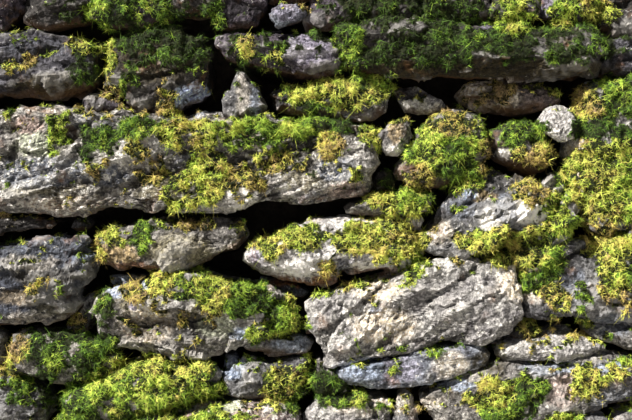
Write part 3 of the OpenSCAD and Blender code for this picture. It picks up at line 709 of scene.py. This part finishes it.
@dataclass(frozen=True)
class FieldStoneFinish:
    """Weathered gritstone: matt and gritty, pale on its arrises, stained and crusted, dark in its hollows and
    joints partly with painted shade, and brown with painted shade on what faces down.

    Its grit, flakes and moss bed are too fine to show at their real 1 to 3 mm, and are drawn coarser.
    """

    name: str = "weathered_gritstone"
    rough: Pattern = (15, 5, 0.6)
    grain: Pattern = (7, 3, 0.75)
    mottle: Pattern = (70, 6, 0.65)
    rust: Pattern = (85, 5, 0.6)
    lichen: Pattern = (17, 8, 0.78)
    film: Pattern = (30, 4, 0.5)
    tufts: Pattern = (5, 4, 0.8)
    dirt_and_shade: Pattern = (26, 4, 0.5)
    flake_mm: float = 9.0
    jolt_mm: float = 12.0
    grit: Ramp = ((0.34, "#34363e"), (0.49, "#9c9a99"), (0.66, "#ffffff"))
    dull: str = "#b0aeb4"
    pits: str = "#777476"
    iron: str = "#8a6038"
    crust: str = "#e2dfd8"
    # dirt and painted shade in the hollows
    hollows: str = "#5d5a58"
    worn: str = "#dbd8d3"
    # brown painted shade on what faces down
    underside: str = "#573c22"
    algae: str = "#474d22"
    # the moss bed's dark, painted shade between its cushions
    bed: str = "#1d230a"
    # soil and painted shade deep in the joints
    soil: str = "#120e0b"

    def material(self) -> bpy.types.Material:
        """Builds the material and returns it."""
        s = Shader(self.name)
        where = s.add("TexCoord", out="Object")
        tint, mark = (s.add("Attribute", {"attribute_name": n}, "Color") for n in ("tint", "mark"))
        soil, under, moss, raised, crust, growth, dome, marks = (
            s.add("Attribute", {"attribute_name": n}, "Fac")
            for n in ("soil", "under", "moss", "raised", "crust", "growth", "dome", "marked"))
        rough, grain, mottle, rust, lichen, film, tufts, dirt_and_shade = (
            s.add("TexNoise", Vector=where, Scale=1000 / width, Detail=layers, Roughness=finer)
            for width, layers, finer in (self.rough, self.grain, self.mottle, self.rust, self.lichen,
                                         self.film, self.tufts, self.dirt_and_shade))
        grit = s.add("ValToRGB", {"stops": self.grit}, i0=grain)
        lichen = s.add("Math", SCALED_PLUS, i0=crust, i1=0.13, i2=lichen)
        brown = s.add("Math", SCALED, i0=under, i1=0.65)
        film = s.add("Math", SCALED_PLUS, i0=film, i1=0.5, i2=s.add("Math", SCALED, i0=moss, i1=1.1))
        # soil and painted shade deep in the joints, broken up by noise
        dirt_and_shade = s.add("Math", SCALED_PLUS, i0=dirt_and_shade, i1=0.3, i2=soil)
        # the moss's bed is bright only where its cushions stand high, and dark between them with painted
        # shade
        lit = s.add("Math", SCALED, i0=dome, i1=s.add("MapRange", EASED, i0=tufts, i1=0.3, i2=0.6))
        bed = s.add("Mix", MIX, 2, i0=s.add("MapRange", EASED, i0=lit, i1=0.35, i2=1.0), i6=linear(self.bed),
                    i7=s.add("ValToRGB", {"stops": MOSS_SCALE}, i0=growth))
        # from the stone outwards: how each layer blends, the value that it follows (1 for everywhere), where
        # on that value it starts and is full, how far it hides what is under it, and its colour
        colour = tint
        for blend, follows, start, full, most, over in (
                # mottled by the stone's own make-up, and darker in its pits
                (TIMES, mottle, 0.65, 0.35, 1.0, linear(self.dull)),
                (TIMES, rough, 0.48, 0.34, 0.8, linear(self.pits)),
                # quartz, lichen and stains on single stones
                (MIX, rough, 0.3, 0.5, marks, mark),
                # grit all over, then iron stains
                (OVERLAY, 1.0, 0.0, 1.0, 0.7, grit),
                (MIX, rust, 0.57, 0.74, 0.5, linear(self.iron)),
                # pale lichen crust
                (MIX, lichen, 0.655, 0.7, 0.8, linear(self.crust)),
                # dirt and painted shade in the hollows, worn arrises, and brown painted shade on what faces
                # down
                (TIMES, raised, 0.0, -0.8, 0.8, linear(self.hollows)),
                (MIX, raised, 0.2, 0.9, 0.25, linear(self.worn)),
                (MIX, 1.0, 0.0, 1.0, brown, linear(self.underside)),
                # a green film about the moss, the moss's own bed, and soil and painted shade deep in the
                # joints
                (MIX, film, 0.35, 1.0, 0.7, linear(self.algae)),
                (MIX, moss, 0.3, 0.6, 1.0, bed),
                (MIX, dirt_and_shade, 0.25, 0.95, 1.0, linear(self.soil))):
            part = s.add("MapRange", EASED, i0=follows, i1=start, i2=full, i4=most)
            colour = s.add("Mix", blend, 2, i0=part, i6=colour, i7=over)
        # flakes: flat bits that each lean their own way, in metres
        jolt = s.add("TexNoise", Vector=where, Scale=1000 / self.jolt_mm, Detail=2.0, out="Color")
        spot = s.add("VectorMath", SCALED_PLUS, i0=jolt, i1=(5 * MM,) * 3, i2=where)
        cell = s.add("TexVoronoi", Vector=spot, Scale=1000 / self.flake_mm, out="Position")
        slant = cell.node.outputs["Color"]
        slant = s.add("VectorMath", SCALED_PLUS, i0=slant, i1=(0.9,) * 3, i2=(-0.45,) * 3)
        height = s.add("VectorMath", DOT, "Value", i0=s.add("VectorMath", LESS, i0=spot, i1=cell), i1=slant)
        for noise, deep in ((rough, 5 * MM), (grain, 3.6 * MM)):
            height = s.add("Math", SCALED_PLUS, i0=noise, i1=deep, i2=height)
        bump = s.add("Bump", Strength=1.0, Distance=1.0, Height=height)
        return s.finish(Base_Color=colour, Roughness=0.92, Normal=bump, **{"Specular IOR Level": 0.3})


@dataclass(frozen=True)
class MossFinish:
    """Feather moss: soft matt shoots, dark at the foot and bright yellow-green at the tip."""

    name: str = "feather_moss"
    patch_mm: float = 14.0
    foot: str = "#3a4026"
    dead: str = "#40401a"

    def material(self) -> bpy.types.Material:
        """Builds the material and returns it."""
        s = Shader(self.name)
        where = s.add("TexCoord", out="Object")
        growth, tip = (s.add("Attribute", {"attribute_name": n}, "Fac") for n in ("growth", "tip"))
        colour = s.add("ValToRGB", {"stops": MOSS_SCALE}, i0=growth)
        patches = s.add("TexNoise", Vector=where, Scale=1000 / self.patch_mm, Detail=4.0)
        # as on the stone: shaded towards the foot, then dead in patches
        for blend, follows, start, full, most, over in ((TIMES, tip, 0.75, 0.0, 1.0, self.foot),
                                                        (MIX, patches, 0.5, 0.34, 0.5, self.dead)):
            part = s.add("MapRange", EASED, i0=follows, i1=start, i2=full, i4=most)
            colour = s.add("Mix", blend, 2, i0=part, i6=colour, i7=linear(over))
        return s.finish(Base_Color=colour, Roughness=0.8, **{"Specular IOR Level": 0.25})


@dataclass(frozen=True)
class HeartingFinish:
    """Packed rubble: small dark stones with soil washed between them."""

    name: str = "packed_rubble"
    stone_mm: float = 45.0
    grit_mm: float = 12.0
    gaps: Ramp = ((0.15, "#3a322b"), (0.6, "#100c09"))
    grit: Ramp = ((0.3, "#1a1511"), (0.7, "#4a4037"))

    def material(self) -> bpy.types.Material:
        """Builds the material and returns it."""
        s = Shader(self.name)
        where = s.add("TexCoord", out="Object")
        gap = s.add("TexVoronoi", Vector=where, Scale=1000 / self.stone_mm, out="Distance")
        colour = s.add("ValToRGB", {"stops": self.gaps}, i0=gap)
        grit = s.add("TexNoise", Vector=where, Scale=1000 / self.grit_mm, Detail=4.0)
        grit = s.add("ValToRGB", {"stops": self.grit}, i0=grit)
        colour = s.add("Mix", MIX, 2, i0=0.5, i6=colour, i7=grit)
        bump = s.add("Bump", {"invert": True}, Strength=1.0, Distance=8 * MM, Height=gap)
        return s.finish(Base_Color=colour, Roughness=0.95, Normal=bump)


@dataclass
class Finishes:
    """The wall's materials, built once."""

    stone: bpy.types.Material = field(default_factory=lambda: FieldStoneFinish().material())
    moss: bpy.types.Material = field(default_factory=lambda: MossFinish().material())
    hearting: bpy.types.Material = field(default_factory=lambda: HeartingFinish().material())


@dataclass
class Moss:
    """Moss on the stones of one node: a joined mesh of small tufts, each a ring of pointed leaves.

    Attributes:
        name: The piece's name.
        tufts_per_m2: How close the tufts stand.
        leaves: The leaves of a tuft.
        leaf: A leaf's length.
        spread: A leaf's width at the foot, times the square root of tufts_per_m2.
        height: A tuft's height.
        droop: How far the leaves hang, over how far they lean out.
        strands: The share of leaves that hang out as long strands.
        strand: A strand's length over a leaf's.
        fewest: The number of tufts below which there is no moss.
        seed: Chooses the pattern.
    """

    name: str
    tufts_per_m2: float
    leaves: int = 5
    leaf: float = 9.5 * MM
    spread: float = 270 * MM
    height: float = 2.4 * MM
    droop: float = 0.4
    strands: float = 0.04
    strand: float = 2.6
    fewest: int = 5
    seed: int = 1

    def sow(self, rng: np.random.Generator, points: np.ndarray, triangles: np.ndarray,
            looks: dict[str, np.ndarray]) -> tuple[np.ndarray, ...] | None:
        """Scatters the tufts over a stone surface.

        Args:
            rng: The random numbers.
            points: The surface's vertices.
            triangles: Its triangles, as vertex numbers.
            looks: The moss, growth and dome at each vertex, among others.

        Returns:
            For each tuft the point that it stands on, the normal there, a direction along the surface, its
            size, its hue and its light, or None where too few grow.
        """
        corners = points[triangles]
        cross = np.cross(corners[:, 1] - corners[:, 0], corners[:, 2] - corners[:, 0])
        area = np.linalg.norm(cross, axis=1) / 2
        # none on the thinnest moss
        thinnest, rising = 0.1, 1.6
        weight = area * np.clip(rising * (looks["moss"][triangles].mean(axis=1) - thinnest), 0, 1)
        tufts = int(weight.sum() * self.tufts_per_m2)
        if tufts < self.fewest:
            return None
        chosen = rng.choice(len(triangles), tufts, p=weight / weight.sum())
        share = rng.dirichlet((1, 1, 1), tufts)
        foot = np.einsum("ij,ijk->ik", share, corners[chosen])
        thick, hue, high = (np.einsum("ij,ij->i", share, looks[name][triangles[chosen]])
                            for name in ("moss", "growth", "dome"))
        normal = cross[chosen] / np.maximum(2 * area[chosen], 1e-12)[:, None]
        along = np.cross(normal, rng.normal(size=(tufts, 3)))
        along /= np.linalg.norm(along, axis=1)[:, None]
        # larger and yellower on the tops of the cushions, and lighter there: painted light
        size = (0.5 + 0.5 * thick) * (0.55 + 0.6 * high) * rng.lognormal(0, 0.4, tufts)
        hue = hue + 0.12 * (high - 0.5) + rng.normal(0, 0.09, tufts)
        light = 0.22 + 1.05 * high + rng.normal(0, 0.25, tufts)
        return foot, normal, along, size, hue, light

    def build(self, points: np.ndarray, triangles: np.ndarray,
              looks: dict[str, np.ndarray]) -> bpy.types.Object | None:
        """Makes the leaves of all the tufts.

        Args:
            points: The vertices of the surface that they stand on.
            triangles: Its triangles, as vertex numbers.
            looks: The moss, growth and dome at each vertex, among others.

        Returns:
            The moss, or None where none grows.
        """
        rng = np.random.default_rng(self.seed)
        sown = self.sow(rng, points, triangles, looks)
        if sown is None:
            return None
        foot, normal, along, size, hue, light = sown
        tufts = len(foot)

        def each(values: np.ndarray) -> np.ndarray:
            """Repeats the tufts' values for their leaves."""
            return np.repeat(values, self.leaves, axis=0)

        # a ring of leaves round each tuft, each turned a little off its even place
        count = tufts * self.leaves
        turn = (np.tile(np.arange(self.leaves), tufts) + rng.uniform(0, 1, count)) * 2 * math.pi / self.leaves
        out = np.cos(turn)[:, None] * each(along) + np.sin(turn)[:, None] * each(np.cross(normal, along))
        # each leaf leans out, more or less up from the surface, and hangs
        rise = rng.uniform(-0.7, 1.0, count)
        lean = out + each(normal) * rise[:, None] - np.array([0, 0, self.droop])
        hangs = rng.random(count) < self.strands
        lean[hangs] += np.array([0, 0, -1.0])
        lean /= np.linalg.norm(lean, axis=1)[:, None]
        side = np.cross(lean, each(normal) + rng.normal(0, 0.25, (count, 3)))
        width = self.spread / self.tufts_per_m2 ** 0.5
        side *= (0.5 * width * rng.uniform(0.6, 1.1, count) / np.linalg.norm(side, axis=1))[:, None]
        side[hangs] *= 0.5
        base = each(foot + normal * (self.height * size)[:, None]) + out * 0.3 * MM
        length = self.leaf * each(size) * rng.uniform(0.7, 1.2, count) * np.where(hangs, self.strand, 1.0)
        verts = np.stack([base + side, base - side, base + lean * length[:, None]], axis=1).reshape(-1, 3)
        verts = np.clip(verts, CAD_BOX[0], CAD_BOX[1])
        piece = mesh_object(self.name, verts, np.arange(3 * count).reshape(-1, 3))
        light = each(light) + rng.normal(0, 0.15, count)
        # painted light: lighter at the tip than at the two corners of the foot, where the finish paints shade
        ends = np.stack([0.5 * light, 0.5 * light, 1.5 * light], axis=1)
        paint(piece, "tip", np.clip(ends, 0, 1).ravel())
        paint(piece, "growth", np.repeat(np.clip(each(hue) + rng.normal(0, 0.05, count), 0, 1), 3))
        return piece


def shown(name: str, data: bpy.types.ID) -> bpy.types.Object:
    """Puts a mesh, a lamp or a camera in the scene as an object, and returns the object."""
    item = bpy.data.objects.new(name, data)
    bpy.context.scene.collection.objects.link(item)
    return item


def finished(name: str, bm: bmesh.types.BMesh) -> bpy.types.Object:
    """Turns an edited mesh into an object in the scene, frees it and returns the object."""
    mesh = bpy.data.meshes.new(name)
    bm.to_mesh(mesh)
    bm.free()
    return shown(name, mesh)


def packed(node: str) -> bmesh.types.BMesh:
    """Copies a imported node's mesh for editing, with its triangles joined, and returns the copy."""
    bm = bmesh.new()
    bm.from_mesh(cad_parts[node].data)
    bmesh.ops.remove_doubles(bm, verts=bm.verts, dist=0.02 * MM)
    return bm


def mesh_object(name: str, points: np.ndarray, triangles: np.ndarray) -> bpy.types.Object:
    """Makes an object from joined triangles.

    Args:
        name: The object's name.
        points: Its vertices.
        triangles: Its triangles, as vertex numbers.

    Returns:
        The object, in the scene.
    """
    mesh = bpy.data.meshes.new(name)
    mesh.vertices.add(len(points))
    mesh.vertices.foreach_set("co", points.astype(np.float32).ravel())
    mesh.loops.add(3 * len(triangles))
    mesh.loops.foreach_set("vertex_index", triangles.astype(np.int32).ravel())
    mesh.polygons.add(len(triangles))
    mesh.polygons.foreach_set("loop_start", np.arange(len(triangles), dtype=np.int32) * 3)
    mesh.update(calc_edges=True)
    return shown(name, mesh)


def read(items: bpy.types.bpy_prop_collection, name: str, width: int = 3,
         kind: type = np.float32) -> np.ndarray:
    """Reads one property of all of a mesh's vertices, edges or corners.

    Args:
        items: The collection.
        name: The property.
        width: How many numbers it has.
        kind: Their type.

    Returns:
        An array with a row for each item.
    """
    values = np.empty(len(items) * width, kind)
    items.foreach_get(name, values)
    return values.reshape(-1, width).astype(float if kind is np.float32 else int)


def place(mesh: bpy.types.Mesh, points: np.ndarray) -> None:
    """Moves a mesh's vertices to new points."""
    mesh.vertices.foreach_set("co", points.astype(np.float32).ravel())
    mesh.update()


def cut(bm: bmesh.types.BMesh, longest: Callable[[np.ndarray], np.ndarray]) -> None:
    """Halves every edge that is too long for its place until none is.

    Args:
        bm: The mesh.
        longest: Gives the length allowed at each of n points.
    """
    most_rounds = 10
    probe = bpy.data.meshes.new("probe")
    for _ in range(most_rounds):
        bm.to_mesh(probe)
        ends = read(probe.vertices, "co")[read(probe.edges, "vertices", 2, np.int32)]
        long = np.flatnonzero(np.linalg.norm(ends[:, 0] - ends[:, 1], axis=1) > longest(ends.mean(axis=1)))
        if not len(long):
            break
        bm.edges.ensure_lookup_table()
        bmesh.ops.subdivide_edges(bm, edges=[bm.edges[i] for i in long], cuts=1)
        bmesh.ops.triangulate(bm, faces=[f for f in bm.faces if len(f.verts) > 3], quad_method="SHORT_EDGE",
                              ngon_method="EAR_CLIP")
    bpy.data.meshes.remove(probe)


def paint(piece: bpy.types.Object, name: str, values: np.ndarray) -> None:
    """Stores a value or a colour on each vertex.

    Args:
        piece: The object.
        name: The attribute's name, which the material reads.
        values: One number a vertex, or four for a colour.
    """
    kind = "FLOAT" if values.ndim == 1 else "FLOAT_COLOR"
    layer = piece.data.attributes.new(name, kind, "POINT")
    layer.data.foreach_set("value" if values.ndim == 1 else "color", values.astype(np.float32).ravel())


@dataclass
class StoneWork:
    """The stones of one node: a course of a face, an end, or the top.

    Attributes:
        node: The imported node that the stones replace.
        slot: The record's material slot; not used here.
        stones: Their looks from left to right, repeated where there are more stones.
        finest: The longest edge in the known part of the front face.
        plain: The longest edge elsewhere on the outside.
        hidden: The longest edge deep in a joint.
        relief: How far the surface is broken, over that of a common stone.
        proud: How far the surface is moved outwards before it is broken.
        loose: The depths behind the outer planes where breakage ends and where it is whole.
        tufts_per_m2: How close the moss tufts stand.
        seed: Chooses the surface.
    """

    node: str
    slot: str
    stones: tuple[Stone, ...] = laid(StoneTint.BUFF, (StoneTint.GREY, 0.9), (StoneTint.ROSE, 0.3),
                                     (StoneTint.BLUE, 0.7), (StoneTint.PALE, 0.4))
    finest: float = 10 * MM
    plain: float = 24 * MM
    hidden: float = 80 * MM
    relief: float = 1.0
    proud: float = 4 * MM
    loose: tuple[float, float] = (0.13, 0.03)
    tufts_per_m2: float = 25000.0
    seed: int = 1

    def shell(self) -> bmesh.types.BMesh:
        """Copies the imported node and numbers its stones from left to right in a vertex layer."""
        bm = packed(self.node)
        layer = bm.verts.layers.float.new("stone")
        reached, stones = set(), []
        for start in bm.verts:
            if start in reached:
                continue
            reached.add(start)
            front, stone = [start], []
            while front:
                vert = front.pop()
                stone.append(vert)
                for edge in vert.link_edges:
                    other = edge.other_vert(vert)
                    if other not in reached:
                        reached.add(other)
                        front.append(other)
            stones.append(stone)
        stones.sort(key=lambda verts: round(sum(v.co.x for v in verts) / len(verts), 4))
        for number, stone in enumerate(stones):
            for vert in stone:
                vert[layer] = number
        return bm

    def longest(self, points: np.ndarray) -> np.ndarray:
        """Tells how long an edge may be at each point: short where it is seen close, long in a joint."""
        # how much longer it gets for each metre away from what is seen close, and for each metre of depth
        aside, inwards, skin = 0.15, 0.3, 0.008
        outside = np.minimum(self.finest + aside * WALL.mapped(points), self.plain)
        return np.minimum(outside + inwards * np.maximum(WALL.depths(points) - skin, 0.0), self.hidden)

    def surface(self) -> tuple[bpy.types.Object, np.ndarray]:
        """Cuts the shell, rounds its corners and cuts again.

        Returns:
            The stones, and the number of the stone that each vertex belongs to.
        """
        coarser, smoothing = 1.3, 0.2
        bm = self.shell()
        cut(bm, lambda points: coarser * self.longest(points) + 2 * MM)
        free = [v for v in bm.verts if v.co.z > FOOT]
        bmesh.ops.smooth_vert(bm, verts=free, factor=smoothing, use_axis_x=True, use_axis_y=True,
                              use_axis_z=True)
        cut(bm, self.longest)
        layer = bm.verts.layers.float["stone"]
        numbers = np.array([v[layer] for v in bm.verts]).round().astype(int)
        return finished(self.node + "_stones", bm), numbers

    def look(self, name: str, numbers: np.ndarray) -> np.ndarray:
        """Reads one number of each vertex's stone."""
        values = np.array([getattr(stone, name) for stone in self.stones])
        return values[numbers % len(values)]

    def weather(self, points: np.ndarray, numbers: np.ndarray) -> tuple[np.ndarray, np.ndarray]:
        """Breaks the surface into flat faces, ledges and grit.

        Args:
            points: The vertices.
            numbers: The stone that each belongs to.

        Returns:
            How far each vertex moves outwards, in metres, and how far it lies above (up to 1) or below
            (down to -1) the surface about it.
        """
        rng = np.random.default_rng(900 + self.seed)
        count = numbers.max() + 1
        # each stone is read as if its bedding lay flat, at a place of its own
        bedded = points.copy()
        bedded[:, 2] -= self.look("dip", numbers) * points[:, 0]
        bedded += rng.uniform(-5, 5, (count, 3))[numbers]
        bent = Relief(5).shaken(bedded, 5 * MM, 34 * MM)
        # faces are longer than they are high
        flat = bent * np.array([0.65, 1.0, 1.4])
        # the smallest only where the edges are short enough for them
        fine = np.clip((26 * MM - self.longest(points)) / (18 * MM), 0.15, 1.0)
        # each term has its height in millimetres, its seed, and its width, or a bed's thickness and run
        broken = self.look("chips", numbers) * (18.0 * Relief(3).flats(flat, 68 * MM)
                                                + 5.5 * Relief(7).flats(flat, 27 * MM))
        small = (2.4 * Relief(11).flats(bent, 13 * MM) + 1.5 * Relief(19).layers(bent, 11 * MM, 2)) * fine
        beds = self.look("beds", numbers) * (8.0 * Relief(23).ledges(bent, 66 * MM, 240 * MM)
                                             + 6.0 * Relief(9).ledges(bent, 26 * MM, 150 * MM)
                                             + 2.2 * Relief(29).ledges(bent, 10 * MM, 60 * MM) * fine)
        moved = 5.0 * Relief(13).layers(bedded, 210 * MM, 2) + broken + small + beds
        raised = (0.3 * (broken + beds) + small) / 6.0
        return moved * MM * self.relief, np.clip(raised, -1, 1)

    def tints(self, numbers: np.ndarray) -> np.ndarray:
        """Gives each vertex its stone's colour, with every stone a little darker or lighter."""
        rng = np.random.default_rng(70 + self.seed)
        colours = np.array([linear(stone.tint.value) for stone in self.stones])[numbers % len(self.stones)]
        colours[:, :3] *= rng.uniform(0.88, 1.08, numbers.max() + 1)[numbers][:, None]
        return colours

    def shape(self) -> tuple[bpy.types.Object, np.ndarray, dict[str, np.ndarray]]:
        """Breaks the stones' surface and swells it where moss grows.

        Returns:
            The stones, their vertices, and what the finish reads at each vertex, by name.
        """
        piece, numbers = self.surface()
        mesh = piece.data
        points, normals = read(mesh.vertices, "co"), read(mesh.vertex_normals, "vector")
        depth = WALL.depths(points)
        free = points[:, 2] > FOOT
        moved, raised = self.weather(points, numbers)
        points += normals * ((moved + self.proud) * smooth_step(*self.loose, depth) * free)[:, None]
        place(mesh, points)
        normals = read(mesh.vertex_normals, "vector")
        thick, growth = FRONT_MOSS.cover(points, normals, raised)
        # domes from 0 to 1 between creases, and how far the moss stands out on them in millimetres
        crease, rise = 2.3, 1.7
        dome = Relief(53).chips(Relief(57).shaken(points, 5 * MM, 20 * MM), 22 * MM, slant=0.12, bowl=0.9)
        dome = np.clip((crease - dome) / rise, 0, 1)
        swell = (12.0 * dome + 5.0 * Relief(51).layers(points, 46 * MM, 2)
                 + 2.0 * Relief(55).waves(points, 9 * MM))
        points = np.clip(points + normals * (thick * swell * MM * free)[:, None], CAD_BOX[0], CAD_BOX[1])
        place(mesh, points)
        marks = marked(points)
        # soil and painted shade lie deep in the joints, and brown painted shade on what faces down behind the
        # outer planes
        return piece, points, {
            "tint": self.tints(numbers), "mark": marks, "marked": marks[:, 3],
            "soil": smooth_step(0.04, 0.13, depth),
            "under": smooth_step(0.25, 0.75, -normals[:, 2]) * smooth_step(-0.01, 0.02, depth),
            "moss": thick, "growth": growth, "dome": dome, "raised": raised,
            "crust": self.look("crust", numbers)}

    def build(self, finishes: Finishes) -> int:
        """Makes the stones and their moss, dresses them and puts them in the node's place.

        Args:
            finishes: The wall's materials.

        Returns:
            The number of triangles made.
        """
        piece, points, looks = self.shape()
        mesh = piece.data
        # the arrises stay sharp where they are seen close
        if self.node.startswith(("front", "through")):
            mesh.shade_flat()
        else:
            mesh.shade_smooth()
        for name, values in looks.items():
            paint(piece, name, values)
        mesh.materials.append(finishes.stone)
        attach(piece, "root")
        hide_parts(self.node)
        triangles = read(mesh.loops, "vertex_index", 1, np.int32).reshape(-1, 3)
        moss = Moss(self.node + "_moss", self.tufts_per_m2, seed=self.seed).build(points, triangles, looks)
        leaves = 0
        if moss:
            moss.data.materials.append(finishes.moss)
            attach(moss, "root")
            leaves = len(moss.data.polygons)
        LOG.info("%s: %d triangles of stone, %d of moss", self.node, len(triangles), leaves)
        return len(triangles) + leaves


@dataclass
class Hearting:
    """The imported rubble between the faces, seen only deep in the joints.

    Attributes:
        node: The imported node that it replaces.
        lump, swell_mm: The width of a lump and how far it stands out.
        edge: The longest edge.
    """

    node: str = "hearting"
    lump: float = 55 * MM
    swell_mm: float = 14.0
    edge: float = 80 * MM

    def build(self, finishes: Finishes) -> int:
        """Makes the lumpy hearting in the node's place.

        Args:
            finishes: The wall's materials.

        Returns:
            The number of triangles made.
        """
        bm = packed(self.node)
        cut(bm, lambda points: np.full(len(points), self.edge))
        points = np.array([v.co[:] for v in bm.verts])
        for vert, lift in zip(bm.verts, Relief(61).chips(points, self.lump)):
            if vert.co.z > FOOT:
                vert.co += vert.normal * float(np.clip(lift, -1, 1)) * self.swell_mm * MM
        piece = finished("hearting_rubble", bm)
        mesh = piece.data
        mesh.materials.append(finishes.hearting)
        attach(piece, "root")
        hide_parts(self.node)
        LOG.info("hearting: %d triangles", len(mesh.polygons))
        return len(mesh.polygons)


@dataclass(frozen=True)
class Studio:
    """A pale floor, low light from the upper left under a dim sky, and a camera square to the front face.

    Attributes:
        view_width: The width of the front face that the picture shows.
        lens_mm, sensor_mm: The camera's lens and the width of its sensor.
        target: The point on the front face in the middle of the picture.
        floor_reach: How far the floor reaches to each side.
        sky, backdrop, floor: Colours.
        sky_strength: The strength of the sky's light.
    """

    view_width: float = 1.58
    lens_mm: float = 50.0
    sensor_mm: float = 36.0
    target: tuple[float, float, float] = (0.0, -0.305, 0.725)
    floor_reach: float = 9.0
    sky: str = "#bfd2f8"
    sky_strength: float = 0.088
    backdrop: str = "#dddbd7"
    floor: str = "#9a9894"

    def camera(self) -> None:
        """Stands the camera square to the leaning face, where it frames the known stones."""
        lean = math.atan2(WALL.base_half - WALL.top_half, WALL.height)
        away = self.view_width * self.lens_mm / self.sensor_mm
        data = bpy.data.cameras.new("camera")
        data.lens, data.sensor_width = self.lens_mm, self.sensor_mm
        camera = shown("camera", data)
        camera.location = Vector(self.target) + away * Vector((0, -math.cos(lean), math.sin(lean)))
        camera.rotation_euler = (math.pi / 2 - lean, 0, 0)
        bpy.context.scene.camera = camera

    def lamp(self, name: str, towards: tuple[float, float, float], strength: float, softness: float,
             colour: str) -> None:
        """Adds a distant lamp, like a sun.

        Args:
            name: Its name.
            towards: The direction from the wall to the lamp.
            strength: Its strength, where pi lights a surface that faces it to its own colour.
            softness: The angle that it fills, in degrees.
            colour: Its colour.
        """
        data = bpy.data.lights.new(name, "SUN")
        data.energy, data.angle, data.color = strength, math.radians(softness), linear(colour)[:3]
        lamp = shown(name, data)
        lamp.rotation_euler = Vector(towards).to_track_quat("Z", "Y").to_euler()

    def build(self) -> None:
        """Sets the floor, the lamps and the plain world."""
        self.lamp("key", towards=(-0.63, -0.35, 0.66), strength=10.2, softness=1.5, colour="#fffaf2")
        self.lamp("back", towards=(0.5, 0.75, 0.5), strength=2.4, softness=12.0, colour="#fff8f0")
        world = bpy.data.worlds.new("studio")
        world.use_nodes = True
        s = Shader("world", world.node_tree)
        # what is seen past the floor is pale, and only the dim sky lights the wall
        seen = s.add("LightPath", out="Is Camera Ray")
        for other in ("Is Glossy Ray", "Is Transmission Ray"):
            seen = s.add("Math", {"operation": "MAXIMUM"}, i0=seen, i1=s.add("LightPath", out=other))
        sky = s.add("Background", Color=linear(self.sky), Strength=self.sky_strength)
        backdrop = s.add("Background", Color=linear(self.backdrop), Strength=1.0)
        s.add("OutputWorld", Surface=s.add("MixShader", i0=seen, i1=sky, i2=backdrop))
        bpy.context.scene.world = world
        bm = bmesh.new()
        bmesh.ops.create_grid(bm, x_segments=1, y_segments=1, size=self.floor_reach)
        floor = finished("floor", bm)
        floor.data.materials.append(Shader("pale_floor").finish(Base_Color=linear(self.floor), Roughness=0.9))
        bpy.context.scene.view_settings.view_transform = "Standard"


def wall_parts() -> list[StoneWork]:
    """Lists the stonework, node by node, and returns it."""
    buff, pale, white, grey, blue, steel, rose, lead, ink, dark, plum = StoneTint
    # moss tufts a square metre where they aren't seen close
    sparse = 6000.0
    front = [
        StoneWork("front_course_1", "weathered_stone", laid(
            grey, buff, (rose, 0.2, 0, 0.6, 1.0), grey, (blue, 0.8), grey, buff)),
        StoneWork("front_course_2", "mossy_stone", laid(
            grey, buff, grey, buff, pale, grey, (buff, 0.5, 0.1, 1.0, 0.5))),
        StoneWork("front_course_3", "pale_stone", laid(
            grey, buff, (pale, 0.3), (steel, 0.6, 0.15, 1.0), (buff, 1.0, 0.03, 1.0, 0.6)), relief=0.65),
        # the first stone's ink tint also paints in the shade over the left slab
        StoneWork("front_course_4", "pale_stone", laid(
            (ink, 1.4, 0.12, 1.1, 0.4), grey, (buff, 0.7, -0.2, 1.4, 0.6), (pale, 0.6, 0.5, 1.0, 0.6),
            (grey, 0.5, 0.1, 1.2, 0.4))),
        StoneWork("front_course_5", "mossy_stone", laid(
            dark, (white, 0.4, 0, 1.2, 0.6), (grey, 0.5, 0.6, 1.5, 0.6), (pale, 0.3, 1.0))),
        StoneWork("front_course_6", "mossy_stone", laid(
            (buff, 1.3, 0.3, 1.1, 0.9), buff, (buff, 0.3, 0, 0.6), (dark, 0.4, 0, 0.6), (pale, 0.4, 0, 0.8))),
        StoneWork("front_course_7", "weathered_stone", laid(
            (grey, 0.2, 0, 0.5, 0.5), (grey, 0.5, 0, 1, 0.7), (white, 0.5), (rose, 0.3))),
        # the top two courses take the darkest tints, which also paint in the shade that lies on them
        StoneWork("front_course_8", "mossy_stone", laid(
            (lead, 1.0, 0.1, 1.2, 0.2), (dark, 0.8, 0.3, 1.3, 0.2), (dark, 1.2, 0, 1, 0.1), lead)),
        StoneWork("front_course_9", "dark_stone", laid(plum, dark, plum, (dark, 0.5, 0, 1, 0.6))),
        StoneWork("front_pins", "pale_stone", laid(
            grey, plum, pale, white, white, blue, blue, blue, dark, (pale, 0.2, 0, 0.7, 0.8), white, grey,
            dark, (white, 0.1, 0, 0.8, 0.8), grey, pale), finest=5.5 * MM, relief=0.75),
        StoneWork("through_stones", "weathered_stone", laid(
            (buff, 0.9, 0.15), (plum, 1.1), (pale, 0.8, 0, 0.8, 0.6))),
    ]
    back = [StoneWork(f"back_course_{k}", "weathered_stone", tufts_per_m2=sparse) for k in range(1, 10)]
    ends = [StoneWork(f"{end}_end_{kind}", f"{look}_stone", tufts_per_m2=sparse) for end in ("left", "right")
            for kind, look in (("ties", "weathered"), ("runners", "weathered"), ("fill", "dark"))]
    top = [StoneWork("cover_slabs", "weathered_stone", relief=0.7, tufts_per_m2=sparse),
           StoneWork("cope_stones", "dark_stone", laid(grey, (dark, 0.8), buff, (plum, 0.3)),
                     relief=0.7, tufts_per_m2=sparse)]
    parts = front + back + ends + top
    for number, part in enumerate(parts):
        part.seed = number + 1
    return parts


def main() -> None:
    """Builds the studio and the wall, and reports each piece."""
    logging.basicConfig(level=logging.INFO, format="%(message)s")
    studio = Studio()
    studio.camera()
    studio.build()
    finishes = Finishes()
    made = Hearting().build(finishes)
    for part in wall_parts():
        made += part.build(finishes)
    LOG.info("%d triangles in all", made)


if __name__ == "__main__":
    main()
